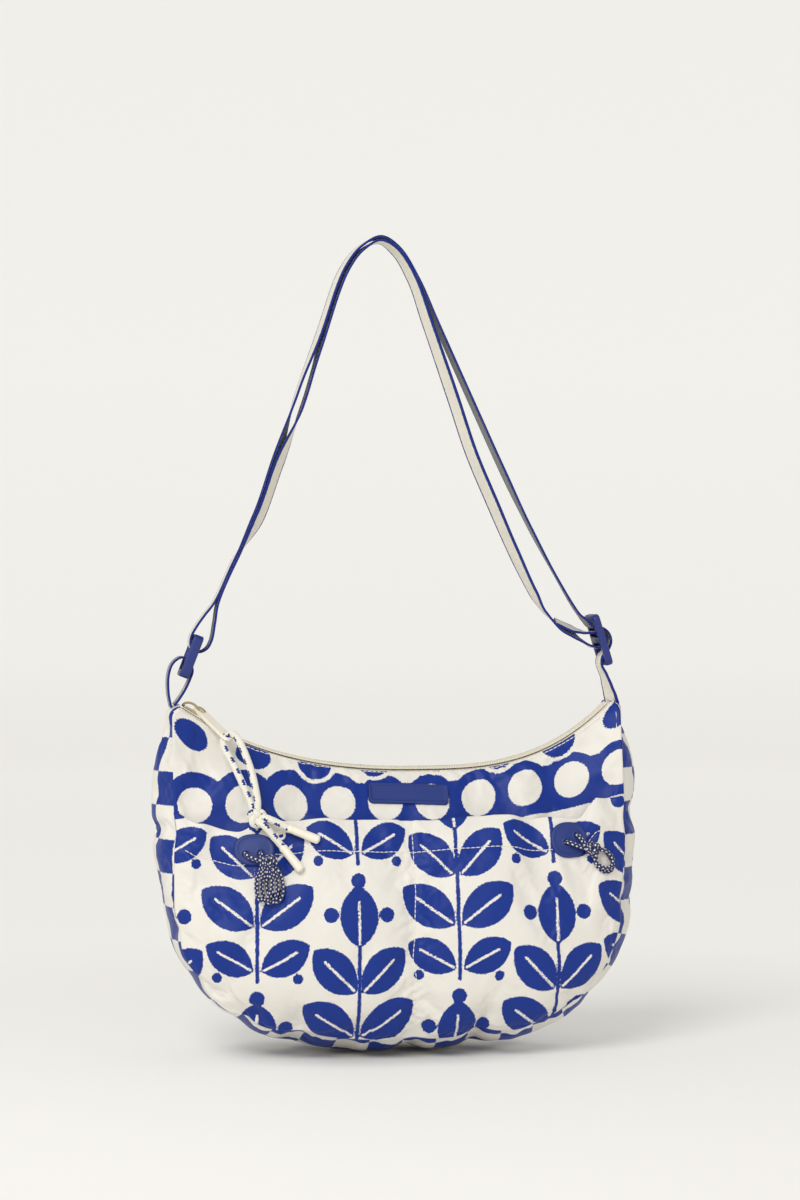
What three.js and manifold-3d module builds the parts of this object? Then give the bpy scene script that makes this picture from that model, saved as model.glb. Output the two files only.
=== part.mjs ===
// Crescent shoulder bag in printed nylon: two panels, a checked gusset, a zipped top,
// a gathered front pocket with knotted drawcords, and a doubled webbing strap.
// Millimetres. +X is the viewer's right, +Y the back, +Z up, and the origin is under the strap's top.
// The pieces are drawn in the bag's own frame, whose z = 0 is the lowest point of the panel seams.

import * as THREE from "three";
import { mergeVertices } from "three/addons/utils/BufferGeometryUtils.js";
import Module from "manifold-3d";

const wasm = await Module();
wasm.setup();

const { lerp, smoothstep, clamp, degToRad } = THREE.MathUtils;

// Driving sizes
const FRONT = -1;
const BACK = 1;
const CLOTH = 1.2;
const GAP = 0.35;

const BAG = {
  halfWidth: 157,
  leftTop: 230,
  rightTop: 233,
  cornerRadius: 92,
  bottomRadius: 420,
  shoulderRadius: 6,
  halfDepthBottom: 42,
  halfDepthTop: 15,
  depthPower: 2.2,
  crown: 20,
  crownPower: 2.4,
};
const GUSSET = { roundness: 0.75, columns: 46, endColumns: 4, endLength: 16 };
const ZIP = {
  low: 188.5,
  lowX: 12,
  leftPower: 2.4,
  rightPower: 3,
  frontDrop: 3,
  dropPower: 4,
  edgeHalf: 8,
  endPower: 8,
  tape: 1,
  tapeDrop: 0.9,
  coilWidth: 6,
  coilRise: 1.7,
  endClearance: 0.8,
};
const POCKET = { middle: 5, rest: 0.7, puff: 9, lobePower: 0.7, fullAt: 0.45, mouth: 0.6 };
const WEBBING = { width: 20, thick: 1.6, stepsPerRow: 3 };
const ROPE = { diameter: 5, sides: 10, hairpinSteps: 22, tailSteps: 6, sleeve: 6.2, sleeveSteps: 3 };
const DRAWCORD = { diameter: 2.8, sides: 8, strandSteps: 8, loopSteps: 12 };
// Columns and rows of the cloth's grids
const GRIDS = {
  front: { columns: 24, rows: 12 },
  back: { columns: 16, rows: 9 },
  gusset: { columns: GUSSET.columns, rows: 6 },
  pocket: { columns: 28, rows: 11 },
  tape: { columns: 20, rows: 1 },
};

// Height of the pocket's hem along the bag, drawn down at the cord tabs
const HEM_ROWS = [
  { x: -157, z: 159 },
  { x: -139, z: 151 },
  { x: -113, z: 145 },
  { x: -98, z: 151 },
  { x: 100, z: 152 },
  { x: 122, z: 151 },
  { x: 137, z: 165 },
  { x: 157, z: 167 },
];
// Where the front seam is drawn in: a share of its length, how far, and over what length
const PUCKERS = [
  { at: 0.125, depth: 1.5, reach: 9 },
  { at: 0.221, depth: 2, reach: 8 },
  { at: 0.271, depth: 2.5, reach: 9 },
  { at: 0.336, depth: 4, reach: 9 },
  { at: 0.395, depth: 2, reach: 10 },
  { at: 0.507, depth: 2, reach: 9 },
  { at: 0.572, depth: 5.5, reach: 9 },
  { at: 0.613, depth: -2, reach: 10 },
  { at: 0.701, depth: 2.5, reach: 9 },
  { at: 0.798, depth: 2, reach: 8 },
  { at: 0.88, depth: 1.5, reach: 9 },
];
// How far the front seam stands in from the outline at shares of its length: it is lifted along the bottom
const LIFTS = [
  { at: 0, lift: 0 },
  { at: 0.3, lift: 0 },
  { at: 0.4, lift: 4.5 },
  { at: 0.72, lift: 4.5 },
  { at: 0.8, lift: 4 },
  { at: 0.88, lift: 0 },
  { at: 1, lift: 0 },
];
// How far the gusset bulges out at shares of the seam: it sags in at the lower left corner
const BULGES = [
  { at: 0, bulge: 2.5 },
  { at: 0.08, bulge: 11 },
  { at: 0.125, bulge: 11 },
  { at: 0.21, bulge: 3 },
  { at: 0.3, bulge: 2.5 },
  { at: 0.42, bulge: 9.5 },
  { at: 0.7, bulge: 9.5 },
  { at: 0.8, bulge: 11 },
  { at: 0.87, bulge: 11 },
  { at: 0.92, bulge: 11 },
  { at: 1, bulge: 2.5 },
];
// Shallow dents of the upper front panel
const DENTS = [
  { x: -70, z: 174, depth: 4, reach: 22 },
  { x: 62, z: 172, depth: 5, reach: 24 },
  { x: 112, z: 182, depth: 5, reach: 18 },
];
// Gathers that run down the pocket from its hem; a negative depth is a ridge
const GATHERS = [
  { x: -128, depth: 2, reach: 9, length: 40 },
  { x: -78, depth: 2, reach: 9, length: 34 },
  { x: 92, depth: 2, reach: 9, length: 36 },
  { x: 138, depth: -3, reach: 10, length: 40 },
];

const COLOURS = {
  blue: "#2b4498",
  cream: "#e6e1d3",
  rubberBlue: "#33477f",
  plasticBlue: "#33447f",
  bone: "#ece4d2",
  brass: "#c9b98f",
  navy: "#26304f",
};

const vector = (x, y, z) => new THREE.Vector3(x, y, z);

// A table's value at a place between two of its rows, eased so that the rows join smoothly
function between(rows, key, place, value) {
  const next = rows.findIndex((row) => row[key] >= place);
  if (next === 0) return rows[0][value];
  if (next < 0) return rows.at(-1)[value];
  const [before, after] = [rows[next - 1], rows[next]];
  return lerp(before[value], after[value], smoothstep(place, before[key], after[key]));
}

const bell = (distance, reach) => Math.exp(-((distance / reach) ** 2));

// Seams

const cornerX = BAG.halfWidth - BAG.cornerRadius;
const cornerZ = BAG.bottomRadius - Math.sqrt((BAG.bottomRadius - BAG.cornerRadius) ** 2 - cornerX ** 2);
const cornerLean = Math.asin(cornerX / (BAG.bottomRadius - BAG.cornerRadius));
const shoulderX = BAG.halfWidth - BAG.shoulderRadius;

// The panel's outline in the X-Z plane, from its left top corner round the bottom to its right one
function panelOutline() {
  const down = 1.5 * Math.PI;
  const path = new THREE.Path();
  path.moveTo(-shoulderX, BAG.leftTop);
  path.absarc(-shoulderX, BAG.leftTop - BAG.shoulderRadius, BAG.shoulderRadius, Math.PI / 2, Math.PI, false);
  path.lineTo(-BAG.halfWidth, cornerZ);
  path.absarc(-cornerX, cornerZ, BAG.cornerRadius, Math.PI, down - cornerLean, false);
  path.absarc(0, BAG.bottomRadius, BAG.bottomRadius, down - cornerLean, down + cornerLean, false);
  path.absarc(cornerX, cornerZ, BAG.cornerRadius, down + cornerLean, 2 * Math.PI, false);
  path.lineTo(BAG.halfWidth, BAG.rightTop - BAG.shoulderRadius);
  path.absarc(shoulderX, BAG.rightTop - BAG.shoulderRadius, BAG.shoulderRadius, 0, Math.PI / 2, false);
  return path;
}

const OUTLINE = panelOutline();
const SEAM_LENGTH = OUTLINE.getLength();
// The shares of the seam at which the lower corners are half turned: a panel's grid has its corners there
const downToCorner = (top) => {
  const shoulder = BAG.shoulderRadius * (Math.PI / 2 - 1);
  return (shoulder + top - cornerZ + BAG.cornerRadius * Math.PI / 4) / SEAM_LENGTH;
};
const LEFT_CORNER = downToCorner(BAG.leftTop);
const RIGHT_CORNER = 1 - downToCorner(BAG.rightTop);

function outwardAt(share) {
  const step = 0.002;
  const before = OUTLINE.getPoint(Math.max(share - step, 0));
  const after = OUTLINE.getPoint(Math.min(share + step, 1));
  const along = after.sub(before).normalize();
  return new THREE.Vector2(along.y, -along.x);
}

function halfDepth(z) {
  const rise = clamp(z / BAG.rightTop, 0, 1) ** BAG.depthPower;
  return lerp(BAG.halfDepthBottom, BAG.halfDepthTop, rise);
}

function seam(share, side) {
  const point = OUTLINE.getPoint(share);
  const out = outwardAt(share);
  let tuck = 0;
  if (side === FRONT) {
    tuck = between(LIFTS, "at", share, "lift");
    for (const row of PUCKERS) tuck += row.depth * bell((share - row.at) * SEAM_LENGTH, row.reach);
  }
  return vector(point.x - out.x * tuck, side * halfDepth(point.y), point.y - out.y * tuck);
}

// Zipped edge: a dip that is steeper on the right, leaning to the front between its ends

function zipHeight(x) {
  const left = x < ZIP.lowX;
  const end = left ? -shoulderX : shoulderX;
  const top = left ? BAG.leftTop : BAG.rightTop;
  const share = (x - ZIP.lowX) / (end - ZIP.lowX);
  return ZIP.low + (top - ZIP.low) * share ** (left ? ZIP.leftPower : ZIP.rightPower);
}

function zipSurface(x, y) {
  const drop = ZIP.frontDrop * (1 - (x / shoulderX) ** ZIP.dropPower);
  return zipHeight(x) - drop * clamp(0.5 - y / (2 * ZIP.edgeHalf), 0, 1);
}

function zipLean(x) {
  const step = 0.5;
  return Math.atan2(zipSurface(x + step, 0) - zipSurface(x - step, 0), 2 * step);
}

function edgeHalf(x) {
  const end = halfDepth(x < 0 ? BAG.leftTop : BAG.rightTop);
  return lerp(ZIP.edgeHalf, end, Math.abs(x / shoulderX) ** ZIP.endPower);
}

function topEdge(u, side) {
  const x = lerp(-shoulderX, shoulderX, u);
  const y = side * edgeHalf(x);
  return vector(x, y, zipSurface(x, y));
}

// Panels: a patch filled in between the seam and the zipped edge, and swelled outwards

const swell = (t) => 1 - Math.abs(2 * t - 1) ** BAG.crownPower;

function panelPoint(u, v, side) {
  const point = vector(0, 0, 0);
  const add = (from, weight) => point.addScaledVector(from, weight);
  add(seam(lerp(LEFT_CORNER, RIGHT_CORNER, u), side), 1 - v);
  add(topEdge(u, side), v);
  add(seam(LEFT_CORNER * (1 - v), side), 1 - u);
  add(seam(lerp(RIGHT_CORNER, 1, v), side), u);
  add(seam(LEFT_CORNER, side), -(1 - u) * (1 - v));
  add(seam(RIGHT_CORNER, side), -u * (1 - v));
  add(topEdge(0, side), -(1 - u) * v);
  add(topEdge(1, side), -u * v);
  let crown = BAG.crown;
  if (side === FRONT) {
    for (const row of DENTS) {
      const distance = Math.hypot(point.x - row.x, point.z - row.z);
      crown -= row.depth * bell(distance, row.reach);
    }
  }
  point.y += side * crown * swell(u) * swell(v);
  return point;
}

// The outward normal of a surface, taken a little inside its edges, where its corners are well shaped
function normalOf(surface, u, v) {
  const step = 0.004;
  const inset = 0.03;
  const a = clamp(u, inset, 1 - inset);
  const b = clamp(v, inset, 1 - inset);
  const along = surface(a + step, b).sub(surface(a - step, b));
  const up = surface(a, b + step).sub(surface(a, b - step));
  return along.cross(up).normalize();
}

// The surface moved along its normals
function offset(surface, distance) {
  return (u, v) => surface(u, v).addScaledVector(normalOf(surface, u, v), distance);
}

const frontFace = (u, v) => panelPoint(u, v, FRONT);
const backFace = (u, v) => panelPoint(1 - u, v, BACK);

// The pocket lies on the front panel along the seams and its middle stitching, and stands off between them

const hemRowOf = new Map();

function hemRow(u) {
  if (!hemRowOf.has(u)) {
    let [low, high] = [0, 1];
    for (let i = 0; i < 30; i++) {
      const half = (low + high) / 2;
      const point = frontFace(u, half);
      if (point.z < between(HEM_ROWS, "x", point.x, "z")) low = half;
      else high = half;
    }
    hemRowOf.set(u, low);
  }
  return hemRowOf.get(u);
}

const pocketMiddle = 0.5 + POCKET.middle / (2 * BAG.halfWidth);

function pocketGap(u, w, point) {
  const across = u < pocketMiddle ? u / pocketMiddle : (1 - u) / (1 - pocketMiddle);
  const lobe = Math.sin(Math.PI * clamp(across, 0, 1)) ** POCKET.lobePower;
  const rise = Math.sin(Math.PI / 2 * Math.min(w / POCKET.fullAt, 1));
  const fall = lerp(1, POCKET.mouth, smoothstep(w, POCKET.fullAt, 1));
  let gap = POCKET.puff * lobe * rise * fall;
  const hem = between(HEM_ROWS, "x", point.x, "z");
  for (const row of GATHERS) {
    gap -= row.depth * bell(point.x - row.x, row.reach) * bell(hem - point.z, row.length) * lobe;
  }
  return POCKET.rest + Math.max(gap, 0);
}

function pocketFace(u, w, lift) {
  const v = w * hemRow(u);
  const point = frontFace(u, v);
  const gap = pocketGap(u, w, point);
  return point.addScaledVector(normalOf(frontFace, u, v), gap + lift);
}

const pocketOuter = (u, w) => pocketFace(u, w, CLOTH);
const pocketInner = (u, w) => pocketFace(u, w, 0);

// The gusset's outer face, from the back seam to the front one

// Shares of the seam for the gusset's columns, closer together round its shoulders
function gussetShare(u) {
  const endU = GUSSET.endColumns / GUSSET.columns;
  const endShare = GUSSET.endLength / SEAM_LENGTH;
  if (u < endU) return endShare * u / endU;
  if (u > 1 - endU) return 1 - endShare * (1 - u) / endU;
  return lerp(endShare, 1 - endShare, (u - endU) / (1 - 2 * endU));
}

function gussetFace(u, across) {
  const share = gussetShare(u);
  const front = seam(share, FRONT);
  const back = seam(share, BACK);
  front.y += CLOTH + GAP;
  back.y -= CLOTH + GAP;
  const point = back.lerp(front, across);
  const out = outwardAt(share);
  const bulge = between(BULGES, "at", share, "bulge") * Math.sin(Math.PI * across) ** GUSSET.roundness;
  return vector(point.x + out.x * bulge, point.y, point.z + out.y * bulge);
}

// Solids

// A closed wall between two faces that share one (u, v) grid
function wall(outer, inner, { columns, rows }) {
  const positions = [];
  const index = [];
  const grid = (face) => {
    const first = positions.length / 3;
    for (let j = 0; j <= rows; j++) {
      for (let i = 0; i <= columns; i++) positions.push(...face(i / columns, j / rows).toArray());
    }
    return (i, j) => first + j * (columns + 1) + i;
  };
  const quad = (a, b, c, d) => index.push(a, b, c, a, c, d);
  const o = grid(outer);
  const n = grid(inner);
  for (let j = 0; j < rows; j++) {
    for (let i = 0; i < columns; i++) {
      quad(o(i, j), o(i + 1, j), o(i + 1, j + 1), o(i, j + 1));
      quad(n(i, j), n(i, j + 1), n(i + 1, j + 1), n(i + 1, j));
    }
    quad(o(0, j + 1), n(0, j + 1), n(0, j), o(0, j));
    quad(o(columns, j), n(columns, j), n(columns, j + 1), o(columns, j + 1));
  }
  for (let i = 0; i < columns; i++) {
    quad(o(i, 0), n(i, 0), n(i + 1, 0), o(i + 1, 0));
    quad(o(i + 1, rows), n(i + 1, rows), n(i, rows), o(i, rows));
  }
  return meshed(positions, index);
}

function meshed(positions, index) {
  const geometry = new THREE.BufferGeometry();
  geometry.setAttribute("position", new THREE.Float32BufferAttribute(positions, 3));
  geometry.setIndex(index);
  geometry.computeVertexNormals();
  return geometry;
}

// A section carried through frames; each frame has a point and the directions of the section's two axes
function sweep(frames, section) {
  const positions = [];
  const index = [];
  const count = section.length;
  for (const frame of frames) {
    for (const [across, up] of section) {
      const point = frame.point.clone().addScaledVector(frame.across, across).addScaledVector(frame.up, up);
      positions.push(...point.toArray());
    }
  }
  for (let k = 0; k + 1 < frames.length; k++) {
    for (let i = 0; i < count; i++) {
      const next = (i + 1) % count;
      const [a, b] = [k * count + i, k * count + next];
      index.push(a, b, b + count, a, b + count, a + count);
    }
  }
  const last = (frames.length - 1) * count;
  for (let i = 1; i + 1 < count; i++) {
    index.push(0, i + 1, i);
    index.push(last, last + i, last + i + 1);
  }
  return meshed(positions, index);
}

// A band of webbing along points, each turned about the path by its twist in degrees
function band(rows) {
  const points = rows.map((row) => vector(row.x, 0, row.z));
  const curve = new THREE.CatmullRomCurve3(points, false, "centripetal");
  const perRow = WEBBING.stepsPerRow;
  const steps = perRow * (rows.length - 1);
  const frames = [];
  for (let k = 0; k <= steps; k++) {
    const along = curve.getTangent(k / steps);
    const row = Math.min(Math.floor(k / perRow), rows.length - 2);
    const twist = lerp(rows[row].twist ?? 0, rows[row + 1].twist ?? 0, smoothstep(k / perRow - row, 0, 1));
    const across = vector(0, 1, 0).addScaledVector(along, -along.y).normalize();
    across.applyAxisAngle(along, degToRad(twist));
    frames.push({ point: curve.getPoint(k / steps), across, up: along.clone().cross(across) });
  }
  const [w, t] = [WEBBING.width / 2, WEBBING.thick / 2];
  return sweep(frames, [[-w, -t], [w, -t], [w, t], [-w, t]]);
}

function tube(points, diameter, sides, steps) {
  const section = [];
  for (let i = 0; i < sides; i++) {
    const angle = 2 * Math.PI * i / sides;
    section.push(new THREE.Vector2(Math.cos(angle), Math.sin(angle)).multiplyScalar(diameter / 2));
  }
  const extrudePath = new THREE.CatmullRomCurve3(points, false, "centripetal");
  return new THREE.ExtrudeGeometry(new THREE.Shape(section), { steps, bevelEnabled: false, extrudePath });
}

function roundedOutline(shape, width, height, radius) {
  const [w, h] = [width / 2 - radius, height / 2 - radius];
  shape.absarc(w, -h, radius, -Math.PI / 2, 0, false);
  shape.absarc(w, h, radius, 0, Math.PI / 2, false);
  shape.absarc(-w, h, radius, Math.PI / 2, Math.PI, false);
  shape.absarc(-w, -h, radius, Math.PI, 1.5 * Math.PI, false);
  return shape;
}

// A plate of the given thickness about z = 0, with its edges bevelled
function plate(shape, thick, bevel, curveSegments = 4) {
  const geometry = new THREE.ExtrudeGeometry(shape, {
    depth: thick - 2 * bevel,
    bevelThickness: bevel,
    bevelSize: bevel,
    bevelOffset: -bevel,
    bevelSegments: 1,
    curveSegments,
  });
  return geometry.translate(0, 0, bevel - thick / 2);
}

function toSolid(geometry) {
  const bare = geometry.clone();
  bare.deleteAttribute("normal");
  bare.deleteAttribute("uv");
  const merged = mergeVertices(bare, 1e-4);
  return new wasm.Manifold(new wasm.Mesh({
    numProp: 3,
    vertProperties: new Float32Array(merged.attributes.position.array),
    triVerts: new Uint32Array(merged.index.array),
  }));
}

function joined(geometries) {
  const mesh = wasm.Manifold.union(geometries.map(toSolid)).getMesh();
  return meshed(Array.from(mesh.vertProperties), Array.from(mesh.triVerts));
}

const bag = new THREE.Group();

function addMesh(name, geometry, colour, roughness, metalness = 0) {
  const material = new THREE.MeshStandardMaterial({ color: colour, roughness, metalness });
  const mesh = new THREE.Mesh(geometry, material);
  mesh.name = name;
  bag.add(mesh);
  return mesh;
}

// Turns and moves a mesh so that its own X and Y axes lie along the two given directions
function place(mesh, at, alongX, alongY) {
  const turn = new THREE.Matrix4().makeBasis(alongX, alongY, alongX.clone().cross(alongY));
  mesh.quaternion.setFromRotationMatrix(turn);
  mesh.position.copy(at);
  return mesh;
}

// The (u, v) of a surface's point that has the given x and z
function gridPlace(surface, x, z) {
  let u = 0.5 + x / (2 * BAG.halfWidth);
  let v = z / BAG.leftTop;
  const step = 1e-3;
  for (let i = 0; i < 15; i++) {
    const point = surface(u, v);
    const du = surface(u + step, v).sub(point).divideScalar(step);
    const dv = surface(u, v + step).sub(point).divideScalar(step);
    const area = du.x * dv.z - du.z * dv.x;
    const [missX, missZ] = [x - point.x, z - point.z];
    u = clamp(u + (missX * dv.z - missZ * dv.x) / area, 0.01, 0.99);
    v = clamp(v + (missZ * du.x - missX * du.z) / area, 0.01, 0.99);
  }
  return [u, v];
}

// The point that lies a distance out from a surface, at the given x and z on it
function outFrom(surface, x, z, distance) {
  const [u, v] = gridPlace(surface, x, z);
  return offset(surface, distance)(u, v);
}

// A flat plate bent to lie on a surface, its middle at x and z and its own X turned by an angle
function laidOn(surface, geometry, x, z, angle, thick) {
  const [u, v] = gridPlace(surface, x, z);
  const up = normalOf(surface, u, v);
  const right = vector(1, 0, 0).addScaledVector(up, -up.x).normalize().applyAxisAngle(up, degToRad(angle));
  const rise = up.clone().cross(right);
  const middle = surface(u, v);
  const position = geometry.attributes.position;
  for (let i = 0; i < position.count; i++) {
    const spot = middle.clone();
    spot.addScaledVector(right, position.getX(i)).addScaledVector(rise, position.getY(i));
    const height = GAP + thick / 2 + position.getZ(i);
    position.setXYZ(i, ...outFrom(surface, spot.x, spot.z, height).toArray());
  }
  geometry.computeVertexNormals();
  return geometry;
}

// Cloth

addMesh("front_panel", wall(frontFace, offset(frontFace, -CLOTH), GRIDS.front), COLOURS.blue, 0.55);
addMesh("back_panel", wall(backFace, offset(backFace, -CLOTH), GRIDS.back), COLOURS.cream, 0.55);
addMesh("gusset", wall(gussetFace, offset(gussetFace, -CLOTH), GRIDS.gusset), COLOURS.blue, 0.55);
addMesh("pocket", wall(pocketOuter, pocketInner, GRIDS.pocket), COLOURS.cream, 0.55);

// Zip: two tapes below the panel edges, and a half-round coil over their meeting line

function zipTape(side) {
  const end = shoulderX - ZIP.endClearance;
  const face = (u, t) => {
    const x = lerp(-end, end, u);
    const outer = edgeHalf(x) - CLOTH - GAP;
    const y = side === FRONT ? lerp(-outer, -GAP / 2, t) : lerp(GAP / 2, outer, t);
    return vector(x, y, zipSurface(x, y) - ZIP.tapeDrop);
  };
  return wall(face, offset(face, -ZIP.tape), GRIDS.tape);
}

function zipCoil() {
  const end = shoulderX - ZIP.endClearance;
  const steps = 24;
  const frames = [];
  for (let k = 0; k <= steps; k++) {
    const x = lerp(-end, end, k / steps);
    const lean = zipLean(x);
    const up = vector(-Math.sin(lean), 0, Math.cos(lean));
    const point = vector(x, 0, zipSurface(x, 0)).addScaledVector(up, 2 * GAP - ZIP.tapeDrop);
    frames.push({ point, across: vector(0, 1, 0), up });
  }
  const rise = ZIP.coilRise + ZIP.tapeDrop - 2 * GAP;
  const section = [0, 45, 90, 135, 180].map((angle) => {
    return [ZIP.coilWidth / 2 * Math.cos(degToRad(angle)), rise * Math.sin(degToRad(angle))];
  });
  return sweep(frames, section);
}

addMesh("zip_tape_front", zipTape(FRONT), COLOURS.cream, 0.6);
addMesh("zip_tape_back", zipTape(BACK), COLOURS.cream, 0.6);
addMesh("zip_coil", zipCoil(), COLOURS.bone, 0.45);

// Zip slider at the left end: a plate over the coil with an arched bail

const SLIDER = {
  x: -145,
  length: 14,
  width: 9,
  corner: 3,
  thick: 1.8,
  bevel: 0.4,
  bailRadius: 6.4,
  bailWire: 1.6,
  bailSides: 6,
};
const sliderLean = zipLean(SLIDER.x);
const zipAlong = vector(Math.cos(sliderLean), 0, Math.sin(sliderLean));
const zipUp = vector(-Math.sin(sliderLean), 0, Math.cos(sliderLean));
const sliderMiddle = vector(SLIDER.x, 0, zipSurface(SLIDER.x, 0))
  .addScaledVector(zipUp, ZIP.coilRise + GAP + SLIDER.thick / 2);

function zipSlider() {
  const outline = roundedOutline(new THREE.Shape(), SLIDER.length, SLIDER.width, SLIDER.corner);
  const arch = [];
  for (let angle = 0; angle <= 180; angle += 20) {
    const turn = degToRad(angle);
    arch.push(vector(Math.cos(turn), 0, Math.sin(turn)).multiplyScalar(SLIDER.bailRadius));
  }
  const bail = tube(arch, SLIDER.bailWire, SLIDER.bailSides, arch.length - 1);
  return joined([plate(outline, SLIDER.thick, SLIDER.bevel, 3), bail]);
}

place(addMesh("zip_slider", zipSlider(), COLOURS.brass, 0.35, 0.8), sliderMiddle, zipAlong, vector(0, 1, 0));

// Pull tab, threaded on the bail's right leg and reaching over the front panel's edge

const TAB = {
  pitch: 33,
  width: 9,
  thick: 2.5,
  bevel: 0.4,
  end: 4.8,
  slotLength: 7,
  slotWidth: 5,
  slotCorner: 2,
  ropeHole: 5.9,
};
// The tab's direction as shares of forwards, along the zip and down into it
const TAB_LEAN = { forward: 0.7, along: 0.69, down: 0.17 };
const tabAlong = vector(0, -TAB_LEAN.forward, 0)
  .addScaledVector(zipAlong, TAB_LEAN.along)
  .addScaledVector(zipUp, -TAB_LEAN.down)
  .normalize();
const tabAcross = vector(0, 1, 0).addScaledVector(tabAlong, -tabAlong.y).normalize();
const tabUp = tabAlong.clone().cross(tabAcross);
const bailThread = degToRad(17);
const tabTop = sliderMiddle.clone()
  .addScaledVector(zipAlong, SLIDER.bailRadius * Math.cos(bailThread))
  .addScaledVector(zipUp, SLIDER.bailRadius * Math.sin(bailThread) + SLIDER.thick / 2);
const tabHole = tabTop.clone().addScaledVector(tabAlong, TAB.pitch);

function pullTab() {
  const shape = new THREE.Shape();
  shape.absarc(TAB.pitch, 0, TAB.width / 2, -Math.PI / 2, Math.PI / 2, false);
  shape.absarc(TAB.width / 2 - TAB.end, 0, TAB.width / 2, Math.PI / 2, 1.5 * Math.PI, false);
  const slot = roundedOutline(new THREE.Path(), TAB.slotLength, TAB.slotWidth, TAB.slotCorner);
  const hole = new THREE.Path().absarc(TAB.pitch, 0, TAB.ropeHole / 2, 0, 2 * Math.PI, true);
  shape.holes.push(slot, hole);
  return plate(shape, TAB.thick, TAB.bevel);
}

place(addMesh("pull_tab", pullTab(), COLOURS.bone, 0.5), tabTop, tabAlong, tabAcross);

// Pull rope: two strands from the tab's hole to a knot, then two tails that end in sleeves
const KNOT = { x: -101.7, y: -46.5, z: 157, radius: 7 };
const ROPE_HAIRPIN = [
  { x: -101.7, y: -46.5, z: 157 },
  { x: -105, y: -43, z: 166 },
  { x: -110.5, y: -37.5, z: 179.5 },
  { x: -117.5, y: -30.5, z: 195 },
  { x: -122.2, y: -26.5, z: 204.2 },
  { x: -122.6, y: -23.6, z: 208.3 },
  { x: -120.3, y: -23.15, z: 211.1 },
  { x: -117.4, y: -23.6, z: 213.4 },
  { x: -114.5, y: -26.6, z: 211.9 },
  { x: -111.4, y: -30.2, z: 207 },
  { x: -104.5, y: -37.5, z: 188 },
  { x: -101, y: -44, z: 169 },
  { x: -101.7, y: -46.5, z: 157 },
];
const ROPE_TAILS = [
  {
    name: "low",
    rope: [{ x: -97, y: -50.5, z: 152 }, { x: -91, y: -50.4, z: 145 }, { x: -85, y: -50.5, z: 138 }],
    sleeve: [{ x: -84.5, y: -50.7, z: 137.3 }, { x: -71.8, y: -55.6, z: 121.5 }],
  },
  {
    name: "high",
    rope: [{ x: -95, y: -50, z: 157 }, { x: -88, y: -49.8, z: 154 }, { x: -81, y: -48.6, z: 150.5 }],
    sleeve: [{ x: -80.2, y: -48.6, z: 150.2 }, { x: -59, y: -50.4, z: 141.5 }],
  },
];

const atRow = ({ x, y, z }) => vector(x, y, z);

function pullRope() {
  const strand = (rows, steps) => tube(rows.map(atRow), ROPE.diameter, ROPE.sides, steps);
  const knot = new THREE.SphereGeometry(KNOT.radius, 12, 8).translate(KNOT.x, KNOT.y, KNOT.z);
  const tails = ROPE_TAILS.map(({ rope }) => strand([KNOT, ...rope], ROPE.tailSteps));
  return joined([strand(ROPE_HAIRPIN, ROPE.hairpinSteps), knot, ...tails]);
}

addMesh("pull_rope", pullRope(), COLOURS.bone, 0.7);
for (const { name, sleeve } of ROPE_TAILS) {
  const geometry = tube(sleeve.map(atRow), ROPE.sleeve, ROPE.sides, ROPE.sleeveSteps);
  addMesh(`rope_sleeve_${name}`, geometry, COLOURS.bone, 0.5);
}

// Rubber badge, laid on the upper front panel
const BADGE = { x: 6, z: 170, width: 56, height: 13, thick: 2, turn: -2, columns: 8, rows: 2 };

function badge() {
  const block = new THREE.BoxGeometry(BADGE.width, BADGE.height, BADGE.thick, BADGE.columns, BADGE.rows);
  return laidOn(frontFace, block, BADGE.x, BADGE.z, BADGE.turn, BADGE.thick);
}

addMesh("badge", badge(), COLOURS.rubberBlue, 0.5);

// Cord tabs: round rubber plates laid on the pocket, each with two cord holes given as x and z
const CORD_TAB = { thick: 2.6, hole: 3.6, bevel: 0.6 };
const CORD_TABS = [
  {
    name: "left",
    x: -103,
    z: 135,
    width: 28,
    height: 21,
    holes: [{ x: -109, z: 132 }, { x: -99, z: 132.5 }],
  },
  {
    name: "right",
    x: 115,
    z: 139,
    width: 26,
    height: 24,
    holes: [{ x: 112.6, z: 137 }, { x: 120.3, z: 141.8 }],
  },
];

function cordTab({ x, z, width, height, holes }) {
  const shape = new THREE.Shape();
  shape.absellipse(0, 0, width / 2, height / 2, 0, 2 * Math.PI, false);
  for (const hole of holes) {
    const path = new THREE.Path();
    path.absarc(hole.x - x, hole.z - z, CORD_TAB.hole / 2, 0, 2 * Math.PI, true);
    shape.holes.push(path);
  }
  return laidOn(pocketOuter, plate(shape, CORD_TAB.thick, CORD_TAB.bevel, 5), x, z, 0, CORD_TAB.thick);
}

for (const row of CORD_TABS) addMesh(`cord_tab_${row.name}`, cordTab(row), COLOURS.rubberBlue, 0.55);

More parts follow.
